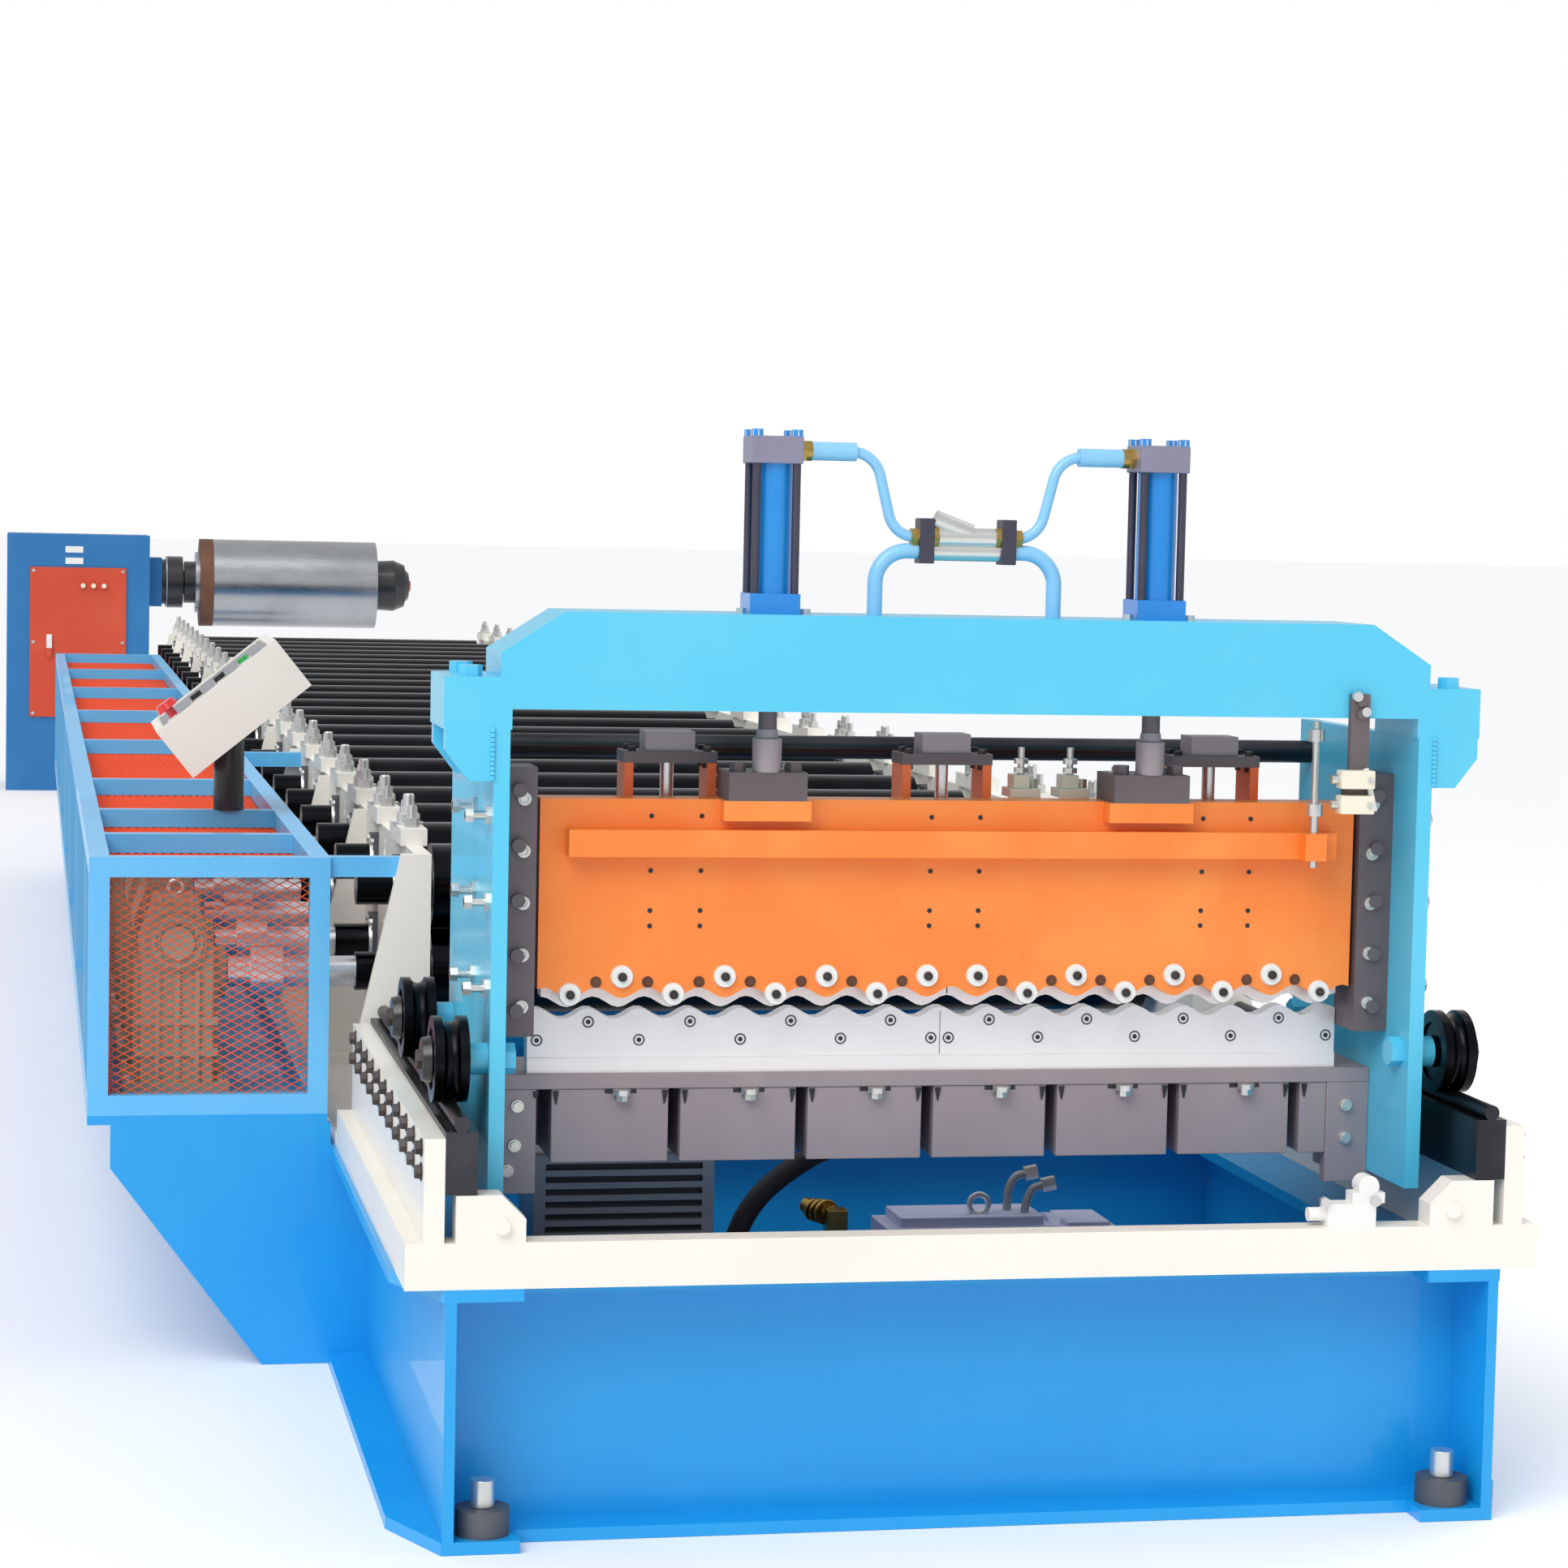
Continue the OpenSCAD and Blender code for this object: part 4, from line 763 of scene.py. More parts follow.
@dataclass
class ShearFace:
    """Screws and washers on the ram plate, the upper blade and the lower blade.

    Attributes:
        pitch: Length of one wave.
        front: Front face of the ram plate.
        lower_front: Front face of the lower blade.
        washer_rows: Name, height and nearest half wave of the washer rows.
        set_screws: Height of the small screws.
        hole_rows: Heights of the holes in the ram plate, drawn as black discs of painted shade.
        hole_groups: Middles of the hole groups.
        hole_spread: Half of the distance between two holes of a group.
        lower_rows: Heights of the two screw rows on the lower blade.
        seam_spread: Distance of the screws beside the lower blade's joint from it.
    """

    pitch: float = 67.7
    front: float = 123.0
    lower_front: float = 183.0
    washer_rows: tuple[tuple[str, float, int], ...] = (("low", 668.0, 3), ("high", 691.0, 1))
    set_screws: float = 684.0
    hole_rows: tuple[float, ...] = (900.0, 829.0, 777.0, 757.0)
    hole_groups: tuple[float, ...] = (-372.0, 0.0, 372.0)
    hole_spread: float = 33.0
    lower_rows: tuple[float, float] = (624.0, 600.0)
    seam_spread: float = 12.0

    def build(self) -> None:
        """Makes the screw rows of the shear."""
        half = self.pitch / 2
        for title, z, nearest in self.washer_rows:
            for side in Side:
                name = f"{title}_{side.name.lower()}"
                x = side.value * nearest * half
                step = (side.value * 4 * half, 0, 0)
                Pattern(f"blade_washers_{name}", Body.RAM, Plastic.WHITE, "bright_steel",
                        lambda s, z=z, x=x: s.rod((x, self.front, z), (x, self.front - 5, z), 15, 13.5, 32),
                        4, step).build()
                Pattern(f"blade_screws_{name}", Body.RAM, Metal.SCREW, "black_steel",
                        socket_screw(x, self.front - 5, z, (0, -1, 0), 6.0), 4, step).build()
        for side in Side:
            Pattern(f"blade_set_screws_{side.name.lower()}", Body.RAM, Metal.BROWN, "dark_steel",
                    socket_screw(side.value * 2 * half, self.front, self.set_screws, (0, -1, 0), 5.0, 7.5),
                    7, (side.value * 2 * half, 0, 0)).build()
        # Black discs stand for the ram plate's holes: painted shade inside them.
        holes = Sketch("ram_plate_holes")
        for middle in self.hole_groups:
            for x in (middle - self.hole_spread, middle + self.hole_spread):
                for z in self.hole_rows:
                    holes.rod((x, self.front, z), (x, self.front - 0.6, z), 3.2, sides=20)
        holes.piece(Body.RAM, Plastic.BLACK, "black_steel")
        upper, lower = self.lower_rows
        places = [(i * half, upper) for i in range(-14, 15, 4)]
        places += [(i * half, lower) for i in range(-16, 17, 4) if i]
        places += [(-self.seam_spread, lower), (self.seam_spread, lower)]
        # The black hexagons are painted shade inside the screws' sockets.
        rings, socket_shade = Sketch("lower_blade_screw_rings"), Sketch("lower_blade_screw_sockets")
        for x, z in places:
            rings.ring((x, self.lower_front, z), (0, 1, 0), 6.8, 1.1, 24, 6)
            socket_shade.rod((x, self.lower_front, z), (x, self.lower_front - 0.8, z), 3.4, sides=6)
        rings.piece(Body.PRESS, Metal.IRON, "dark_steel")
        socket_shade.piece(Body.PRESS, Plastic.BLACK, "black_steel")
        joint = Sketch("upper_blade_joint")
        joint.block((-0.7, 149.3, 664), (0.7, 150, 690))
        joint.piece(Body.RAM, Plastic.BLACK, "black_steel")
        seam = Sketch("lower_blade_joint")
        seam.block((-0.4, self.lower_front - 0.4, 578), (0.4, self.lower_front, 636))
        seam.piece(Body.PRESS, Metal.IRON, "dark_steel")


@dataclass
class SheetPresses:
    """Dark plates, blocks and bright rods of the three presses on top of the ram.

    Attributes:
        pitch: Distance between the presses.
        half: Half of a press's width.
        front: Front face of the legs.
        head: Height of the plates' underside.
        foot: Height at which the legs enter behind the ram plate.
    """

    pitch: float = 372.0
    half: float = 61.0
    front: float = 178.0
    head: float = 969.0
    foot: float = 862.0

    def build(self) -> None:
        """Makes the plates, the blocks, the rods and their bolts."""
        step = (self.pitch, 0, 0)

        def plate(s: Sketch) -> None:
            """Draws one top plate.

            Args:
                s: The sketch to draw into.
            """
            x = -self.pitch
            s.block((x - self.half - 0.8, self.front - 0.8, self.head - 4),
                    (x + self.half + 0.8, self.front + 60.8, self.head + 10.8))

        def block(s: Sketch) -> None:
            """Draws one block.

            Args:
                s: The sketch to draw into.
            """
            s.block((-self.pitch - 32.8, self.front + 5.2, self.head + 10.8),
                    (-self.pitch + 32.8, self.front + 54.8, high("sheet_presses").z + 0.6))

        def rod(s: Sketch) -> None:
            """Draws one rod.

            Args:
                s: The sketch to draw into.
            """
            y = self.front + 30
            s.rod((-self.pitch, y, self.foot), (-self.pitch, y, self.head - 4), 8.8)

        def bolts(s: Sketch) -> None:
            """Draws the bolts of one press.

            Args:
                s: The sketch to draw into.
            """
            for dx in (-50, 50):
                for dy in (10, 50):
                    at = (-self.pitch + dx, self.front + dy)
                    s.rod((*at, self.head + 10.8), (*at, self.head + 17), 6, sides=6)
                    s.rod((*at, self.head - 4), (*at, self.head - 11), 6, sides=6)
        for title, finish, slot, draw in (
            ("plates", Metal.GUIDE, "dark_steel", plate), ("blocks", Metal.MILL, "dark_steel", block),
            ("rods", Metal.GROUND, "bright_steel", rod), ("bolts", Metal.SCREW, "black_steel", bolts),
        ):
            Pattern(f"sheet_press_{title}", Body.RAM, finish, slot, draw, 3, step).build()


@dataclass
class RamTop:
    """Bolts of the couplers and sensors on top of the ram, and of the ram guides.

    Attributes:
        coupler: Distance of a coupler from the middle.
        coupler_top: Top face of the couplers.
        guide: Distance of the guide's screw line from the middle.
        guide_front: Front face of the guides.
        guide_rows: Height of the lowest guide screw, their distance and their number.
        adjuster_rows: Heights of the bolts on the columns.
        adjuster_places: Places of the bolts along the machine.
        column: Outer face of the columns.
        sensors: Places of the sensors across the machine.
        sensor_y: Place of the sensors along the machine.
        sensor_foot: Underside of the sensors.
    """

    coupler: float = 258.0
    coupler_top: float = 959.0
    guide: float = 572.0
    guide_front: float = 113.0
    guide_rows: tuple[float, float, int] = (654.0, 67.0, 5)
    adjuster_rows: tuple[float, ...] = (905.0, 795.0, 685.0)
    adjuster_places: tuple[float, float] = (60.0, 205.0)
    column: float = 622.0
    sensors: tuple[float, float] = (108.0, 176.0)
    sensor_y: float = 203.0
    sensor_foot: float = 922.0

    def build(self) -> None:
        """Makes the bolts, the rod sleeves and the two sensors behind the ram plate."""
        lowest, step, count = self.guide_rows
        for side in Side:
            name = side.name.lower()
            x = side.value * self.coupler
            Pattern(f"coupler_bolts_{name}", Body.RAM, Metal.ZINC, "bright_steel",
                    hex_bolt(x - 35, 136.5, self.coupler_top, (0, 0, 1), 9.0, 12.0),
                    2, (70, 0, 0)).build()
            sleeve = Sketch(f"rod_sleeve_{name}")
            sleeve.rod((x, 108, self.coupler_top), (x, 108, self.coupler_top + 44), 19, sides=32)
            sleeve.rod((x, 108, self.coupler_top + 44), (x, 108, self.coupler_top + 56), 15, 13, 32)
            sleeve.piece(Body.RAM, Metal.MILL, "dark_steel", 0.8)
            Pattern(f"guide_screws_{name}", Body.PRESS, Metal.ZINC, "bright_steel",
                    socket_screw(side.value * self.guide, self.guide_front, lowest, (0, -1, 0), 9.0),
                    count, (0, 0, step)).build()
            bolts = Sketch(f"guide_adjusters_{name}")
            face = self.column * side.value
            long = 32 if side is Side.LEFT else 12
            for z in self.adjuster_rows:
                for y in self.adjuster_places:
                    bolts.rod((face, y, z), (face + 6 * side.value, y, z), 13, sides=6)
                    bolts.rod((face, y, z), (face + long * side.value, y, z), 5.5, sides=16)
                    bolts.rod((face + (long - 10) * side.value, y, z), (face + long * side.value, y, z), 10,
                              9.4, 6)
            bolts.piece(Body.PRESS, Metal.ZINC, "bright_steel")
        bases, posts = Sketch("sensor_bases"), Sketch("sensor_posts")
        y, z0 = self.sensor_y, self.sensor_foot
        for x in self.sensors:
            bases.block((x - 20, y - 23, z0), (x + 22, y + 23, z0 + 12))
            bases.block((x - 14, y - 17, z0 + 12), (x + 8, y + 17, z0 + 30))
            posts.rod((x, y, z0 + 30), (x, y, z0 + 66), 4.5, sides=16)
            for rise in (32, 44):
                posts.rod((x, y, z0 + rise), (x, y, z0 + rise + 7), 10, sides=6)
            posts.rod((x + 16, y, z0 + 12), (x + 16, y, z0 + 24), 8, sides=6)
        bases.piece(Body.RAM, Plastic.CREAM, "white_plastic", 1.0)
        posts.piece(Body.RAM, Metal.ZINC, "bright_steel")


@dataclass
class SwitchStrip:
    """Cream switches with their levers and the white bolts of the dark strip.

    Attributes:
        x: Middle of the strip.
        front: Front face of the strip.
        heights: Lower edges of the two switches.
    """

    x: float = 516.0
    front: float = 18.0
    heights: tuple[float, float] = (951.0, 918.0)

    def build(self) -> None:
        """Makes the switches, the lever and the bolts."""
        boxes, rollers = Sketch("strip_switches"), Sketch("switch_rollers")
        for z in self.heights:
            boxes.block((self.x - 31, self.front - 23, z - 1), (self.x + 15, self.front + 0.5, z + 23))
            rollers.rod((self.x - 31, self.front - 11, z + 11), (self.x - 42, self.front - 11, z + 11), 6,
                        sides=20)
            rollers.rod((self.x + 8, self.front - 23, z + 11), (self.x + 8, self.front - 26, z + 11), 4,
                        sides=16)
        boxes.piece(Body.PRESS, Plastic.CREAM, "white_plastic", 1.5)
        rollers.piece(Body.PRESS, Metal.ZINC, "bright_steel")
        turn = (Matrix.Translation(Vector((self.x + 14, self.front - 6, 947)) * MM)
                @ Matrix.Rotation(math.radians(-14), 4, "Y"))
        lever = Sketch("switch_lever")
        lever.block((-3, -2, -28), (4, 2, 30), turn)
        lever.piece(Body.PRESS, Plastic.WHITE, "white_plastic", 0.6)
        foot = Sketch("stroke_rod_foot")
        foot.block((464.2, 68.2, 848.2), (493.8, 93, 884.8))
        foot.piece(Body.RAM, Paint.ORANGE, "orange_paint", 0.6)
        bolts = Sketch("strip_bolts")
        for x, z in ((self.x - 6, 1070), (self.x + 6, 1050)):
            bolts.rod((x, self.front, z), (x, self.front - 7, z), 7, 6.4, 24)
        bolts.piece(Body.PRESS, Metal.ZINC, "bright_steel")


@dataclass
class LowerBeam:
    """The ribbed lower beam with its bays, end flanges and bolts.

    Attributes:
        front: Front face of the beam.
        depth: Depth of the beam.
        top: Top of the shelf.
        shelf: Underside of the shelf.
        bottom: Lower edge of the bays.
        end_bottom: Lower edge of the end plates.
        half: Half of the beam's length.
        pitch: Distance between the slots.
        shift: How far the slots lie left of the middle.
        slot: Width of a slot.
    """

    front: float = 171.0
    depth: float = 160.0
    top: float = 557.0
    shelf: float = 537.0
    bottom: float = 440.0
    end_bottom: float = 400.0
    half: float = 602.0
    pitch: float = 171.0
    shift: float = 17.0
    slot: float = 16.0

    def build(self) -> None:
        """Makes the beam, which stands for the frame's plain one, and its bolts."""
        beam = Sketch("lower_beam_body")
        outer, rear = self.half, self.front + self.depth
        inner, flange = outer - 20, outer - 60
        beam.block((-outer, self.front, self.shelf), (outer, rear, self.top))
        beam.block((-inner, rear - 20, self.bottom), (inner, rear, self.shelf))
        slots = [i * self.pitch - self.shift for i in range(-3, 4)]
        edges = [-flange - self.slot / 2, *slots, flange + self.slot / 2]
        for left, right in zip(edges, edges[1:]):
            x0, x1 = left + self.slot / 2, right - self.slot / 2
            if x1 - x0 < 20:
                continue
            beam.block((x0, self.front + 2, self.bottom), (x1, self.front + 18, self.shelf))
            beam.block((x0 + 2, self.front + 18, self.bottom), (x0 + 14, rear - 20, self.shelf))
            beam.block((x1 - 14, self.front + 18, self.bottom), (x1 - 2, rear - 20, self.shelf))
        for side in Side:
            beam.span((side.value * flange, side.value * outer), (self.front, self.front + 20),
                      (self.end_bottom, self.shelf))
            beam.span((side.value * inner, side.value * outer), (self.front + 20, rear),
                      (self.end_bottom, self.shelf))
        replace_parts(beam.piece(Body.PRESS, Metal.MILL, "dark_steel", 1.2), "lower_beam")
        ends = Sketch("lower_beam_end_bolts")
        for x, z in ((-567, 516), (-570, 464), (-579, 431), (569, 506), (569, 461)):
            ends.rod((x, self.front, z), (x, self.front - 4, z), 9, 8.4, 24)
            ends.rod((x, self.front - 4, z), (x, self.front - 9, z), 6.5, sides=6)
        ends.piece(Body.PRESS, Metal.ZINC, "bright_steel")
        first = slots[0] + self.pitch * 0.58

        def notch(s: Sketch) -> None:
            """Draws the painted shade in the notch above one bolt, as a black block.

            Args:
                s: The sketch to draw into.
            """
            s.block((first - 21, self.front + 1.2, self.shelf - 6),
                    (first + 21, self.front + 2, self.shelf))

        def bolt(s: Sketch) -> None:
            """Draws one bolt under the shelf.

            Args:
                s: The sketch to draw into.
            """
            y = self.front - 6
            s.rod((first, y, self.shelf - 7), (first, y, self.shelf), 12, sides=24)
            s.rod((first, y, self.shelf - 15), (first, y, self.shelf - 7), 8, sides=6)

        def rib_shadow(s: Sketch) -> None:
            """Draws the painted shadow of the ribs at the mouths of one slot.

            Args:
                s: The sketch to draw into.
            """
            for sign in (-1, 1):
                x = slots[0] + sign * (self.slot / 2 + 5)
                s.rod((x, self.front + 1.5, self.shelf - 2), (x + sign, self.front + 1.5, self.shelf - 20),
                      5, 1, 3)
        row = (6, (self.pitch, 0, 0))
        Pattern("shelf_bolt_notches", Body.PRESS, Plastic.BLACK, "black_steel", notch, *row).build()
        Pattern("shelf_bolts", Body.PRESS, Metal.ZINC, "bright_steel", bolt, *row).build()
        # Black wedges: painted shadow of the ribs beside each slot.
        Pattern("rib_slot_mouths", Body.PRESS, Plastic.BLACK, "black_steel", rib_shadow, 7,
                (self.pitch, 0, 0)).build()


@dataclass
class PressWheels:
    """Nuts and black hub covers of the four press wheels.

    Attributes:
        outer: Outer end of the axles, from the machine's middle.
    """

    outer: float = 720.0

    def build(self) -> None:
        """Makes the nuts and the covers on the axle ends."""
        nuts, covers = Sketch("axle_nuts"), Sketch("hub_covers")
        for side in Side:
            box = low("wheel_front_right"), high("wheel_front_right")
            z = (box[0].z + box[1].z) / 2
            for node in ("wheel_front_right", "wheel_rear_right"):
                y = (low(node).y + high(node).y) / 2
                end = high("column_right").x if side is Side.RIGHT else -low("column_left").x
                end = min(end, self.outer)
                face = high("wheel_front_right").x
                covers.rod((side.value * (face + 0.4), y, z), (side.value * (end + 1), y, z), 30, 27, 40)
                nuts.rod((side.value * (end + 1), y, z), (side.value * (end + 7), y, z), 13, sides=6)
        nuts.piece(Body.PRESS, Metal.SCREW, "bright_steel")
        covers.piece(Body.PRESS, Paint.BLACK, "dark_steel", 1.0)


@dataclass
class PressCylinder:
    """The cap, tie rods, port sleeves and fittings of one press cylinder.

    Attributes:
        side: The side it stands on.
        x: Distance from the machine's middle.
        y: Place along the machine.
        block: Width of the square end blocks.
        base: Top of the beam.
        foot: Height of the foot plate.
        top: Top of the cap.
        cap: Height of the cap.
    """

    side: Side
    x: float = 258.0
    y: float = 108.0
    block: float = 66.0
    base: float = 1164.0
    foot: float = 26.0
    top: float = 1391.0
    cap: float = 34.0

    def build(self) -> None:
        """Makes the cylinder's fittings."""
        name = self.side.name.lower()
        x = self.side.value * self.x
        reach = self.block / 2
        Sketch(f"cylinder_cap_{name}").block(
            (x - reach - 0.6, self.y - reach - 0.6, self.top - self.cap - 0.6),
            (x + reach + 0.6, self.y + reach + 0.6, self.top + 0.6),
        ).piece(Body.PRESS, Metal.CAP, "bearing_iron", 2.0)
        nuts, rods = Sketch(f"tie_rod_nuts_{name}"), Sketch(f"tie_rods_{name}")
        for dx in (-1, 1):
            for dy in (-1, 1):
                at = (x + dx * (reach - 7), self.y + dy * (reach - 7))
                nuts.rod((*at, self.top), (*at, self.top + 8), 8.0, sides=6)
                nuts.rod((*at, self.top), (*at, self.top + 9), 4.6, sides=14)
                rods.rod((*at, self.base + self.foot), (*at, self.top - self.cap), 5.5, sides=16)
        nuts.piece(Body.PRESS, Metal.ZINC, "bright_steel")
        rods.piece(Body.PRESS, Metal.TIE, "bearing_iron")
        ports = Sketch(f"cylinder_port_{name}")
        inner = x - self.side.value * reach
        z = self.top - self.cap / 2
        ports.rod((inner, self.y, z), (inner - self.side.value * 9, self.y, z), 14.5, sides=6)
        ports.rod((inner - self.side.value * 9, self.y, z), (inner - self.side.value * 17, self.y, z), 12.8,
                  sides=28)
        ports.piece(Body.PRESS, Metal.BRASS, "bright_steel")
        foot = Sketch(f"cylinder_foot_bolts_{name}")
        for dx in (-1, 1):
            foot.rod((x + dx * 42, self.y - 22, self.base), (x + dx * 42, self.y - 22, self.base + 7),
                     7.0, sides=6)
        foot.piece(Body.PRESS, Metal.ZINC, "bright_steel")


@dataclass
class OilTee:
    """Clamps and nuts of the tee between the cylinders.

    Attributes:
        half: Half of the tee's length.
        y: Place along the machine.
        upper: Height of the cap pipes' ends.
        lower: Height of the riser pipes' ends.
    """

    half: float = 64.0
    y: float = 108.0
    upper: float = 1266.0
    lower: float = 1248.0

    def build(self) -> None:
        """Makes the end clamps and the union nuts."""
        clamps, nuts = Sketch("tee_clamps"), Sketch("tee_union_nuts")
        for side in Side:
            x = side.value * self.half
            clamps.span((x - side.value * 19, x + side.value * 0.6), (self.y - 14.8, self.y + 16.8),
                        (self.lower - 15.8, self.upper + 24.8))
            nuts.rod((x + side.value * 0.6, self.y, self.upper), (x + side.value * 10, self.y, self.upper),
                     13, sides=6)
            nuts.rod((x - side.value * 26, self.y, self.upper), (x - side.value * 19, self.y, self.upper),
                     15, sides=6)
        clamps.piece(Body.PRESS, Metal.TIE, "bearing_iron", 1.5)
        nuts.piece(Body.PRESS, Metal.BRASS, "bright_steel")


@dataclass
class RollerBed:
    """Collars on the rollers, bolts of the bearings and nuts of the adjusting screws.

    Attributes:
        bed: Places of the roller stations.
    """

    bed: Bed

    def build(self) -> None:
        """Makes the rows of collars, nuts and bolts."""
        bed = self.bed
        row = (bed.count, (0, bed.pitch, 0))
        bridge = high("side_wall_left").z
        for side in Side:
            name, sign = side.name.lower(), side.value
            x = sign * (bed.wall - 8)
            for level, z in (("top", bed.upper), ("bottom", bed.lower)):
                Pattern(f"roller_collars_{level}_{name}", Body.FRAME, Metal.ZINC, "bright_steel",
                        lambda s, x=x, z=z, sign=sign: s.rod((x, bed.first, z), (x - sign * 13, bed.first, z),
                                                             41, 39, 28), *row).build()
            face = sign * (bed.wall + 33)

            def caps(s: Sketch, face: float = face, sign: int = sign) -> None:
                """Draws the bearing caps of one station with their bolts.

                Args:
                    s: The sketch to draw into.
                    face: Outer face of the bearings.
                    sign: Direction outward.
                """
                for z in (bed.upper, bed.lower):
                    s.rod((face, bed.first, z), (face + sign * 5, bed.first, z), 38, 37, 28)
                    for dy in (-36, 36):
                        for dz in (-36, 36):
                            start = (face, bed.first + dy, z + dz)
                            s.rod(start, (face + sign * 5, start[1], start[2]), 6, sides=6)
            Pattern(f"bearing_caps_{name}", Body.FRAME, Metal.ZINC, "bright_steel", caps, *row).build()
            Pattern(f"screw_nuts_{name}", Body.FRAME, Metal.ZINC, "bright_steel",
                    hex_bolt(sign * (bed.wall + 12.5), bed.first, bridge, (0, 0, 1), 19.0, 24.0),
                    *row).build()

            def tips(s: Sketch, x: float = sign * (bed.wall + 12.5)) -> None:
                """Draws the nuts and tips of one adjusting screw.

                Args:
                    s: The sketch to draw into.
                    x: Place of the screw across the machine.
                """
                top = high("adjusting_screws").z
                s.rod((x, bed.first, top - 30), (x, bed.first, top - 18), 15, sides=6)
                s.rod((x, bed.first, top - 3), (x, bed.first, top + 2), 9, 7.5, 20)
                for dy in (-54, 54):
                    s.rod((x, bed.first + dy, bridge), (x, bed.first + dy, bridge + 34), 6.5, sides=16)
            Pattern(f"screw_tips_{name}", Body.FRAME, Metal.ZINC, "bright_steel", tips, *row).build()


@dataclass(frozen=True)
class MeshPanel:
    """One flat panel of expanded mesh.

    Attributes:
        name: The piece's name.
        corner: Lowest corner in millimetres.
        along: Edge that the long diagonals follow.
        up: The other edge.
        diamond: Aim for a diamond's length and height.
        strand: Thickness of a strand.
    """

    name: str
    corner: Point
    along: Point
    up: Point
    diamond: tuple[float, float] = (30.0, 14.0)
    strand: float = 2.2

    def build(self) -> bpy.types.Object:
        """Makes the panel from crossing strands.

        Returns:
            The panel.
        """
        along, up, corner = Vector(self.along), Vector(self.up), Vector(self.corner)
        count = max(1, round(along.length / self.diamond[0]))
        rows = max(1, round(up.length / self.diamond[1]))
        step, row_step = along / count, up / rows

        def draw(sketch: Sketch) -> None:
            """Draws two crossing strands.

            Args:
                sketch: The sketch to draw into.
            """
            sketch.rod(corner, corner + step + row_step, self.strand, sides=4)
            sketch.rod(corner + row_step, corner + step, self.strand, sides=4)
        return Pattern(self.name, Body.FRAME, Paint.MESH, "red_mesh", draw, count, tuple(step),
                       rows, tuple(row_step)).build()


@dataclass
class GuardMesh:
    """The red expanded mesh of the drive guard."""

    def build(self) -> None:
        """Makes the panels, which stand for the guard's mesh sheet."""
        near, far = low("guard_mesh"), high("guard_mesh")
        front = near.y + 15
        size = Vector((far.x - near.x, far.y - front, far.z - near.z))
        panels = (
            MeshPanel("guard_mesh_front", (near.x, near.y + 2, near.z), (size.x, 0, 0),
                      (0, 0, size.z), (23.0, 12.0), 0.85),
            MeshPanel("guard_mesh_top", (near.x, front, far.z - 2), (0, size.y, 0), (size.x, 0, 0)),
            MeshPanel("guard_mesh_side", (near.x + 2, front, near.z), (0, size.y, 0), (0, 0, size.z)),
        )
        made = [panel.build() for panel in panels]
        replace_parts(made[1], "guard_mesh")


@dataclass
class OperatorPanel:
    """Push buttons on the tilted panel box.

    Attributes:
        x: Place of the box across the machine.
        y: Place of the box along the machine.
        z: Height of the box's middle.
        tilt: Tilt of the box in degrees.
        size: Length, width and height of the box.
    """

    x: float = -856.0
    y: float = 1842.0
    z: float = 948.0
    tilt: float = 39.0
    size: Point = (252.0, 300.0, 98.0)

    def build(self) -> None:
        """Makes the buttons, which stand for the red ones of the frame."""
        turn = (Matrix.Translation(Vector((self.x, self.y, self.z)) * MM)
                @ Matrix.Rotation(math.radians(-self.tilt), 4, "Y"))
        length, width, height = self.size
        y, z = -width / 2 + 50, height / 2 - 4
        places = [-length / 2 + 40 + 50 * i for i in range(4)]
        finishes = (Plastic.RED, Plastic.BLACK, Plastic.BLACK, Plastic.GREEN)
        rings = Sketch("panel_button_rings")
        for i, (x, finish) in enumerate(zip(places, finishes)):
            rings.rod((x, y, z), (x, y, z + 5), 15, 14, 28, turn)
            button = Sketch(f"panel_button_{i + 1}")
            if i == 0:
                button.rod((x, y, z), (x, y, z + 22), 8, sides=24, turn=turn)
                button.rod((x, y, z + 20), (x, y, z + 33), 20, 16, 32, turn)
            else:
                button.rod((x, y, z), (x, y, z + 13), 11, 10.5, 28, turn)
            piece = button.piece(Body.FRAME, finish, "button_plastic", 0.6)
            if i == 0:
                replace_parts(piece, "panel_buttons")
        rings.piece(Body.FRAME, Metal.ZINC, "bright_steel")
        Sketch("panel_plate").block(
            (-length / 2 + 16, -width / 2 + 16, z), (length / 2 - 16, width / 2 - 16, z + 1.5), turn,
        ).piece(Body.FRAME, Metal.LOUVRE, "cooler_grey")
        screws = Sketch("panel_screws")
        for dx in (-1, 1):
            for dy in (-1, 1):
                at = (dx * (length / 2 - 25), dy * (width / 2 - 25))
                screws.rod((*at, z + 1.5), (*at, z + 3.5), 4, 3.4, 16, turn)
        screws.piece(Body.FRAME, Metal.ZINC, "bright_steel")


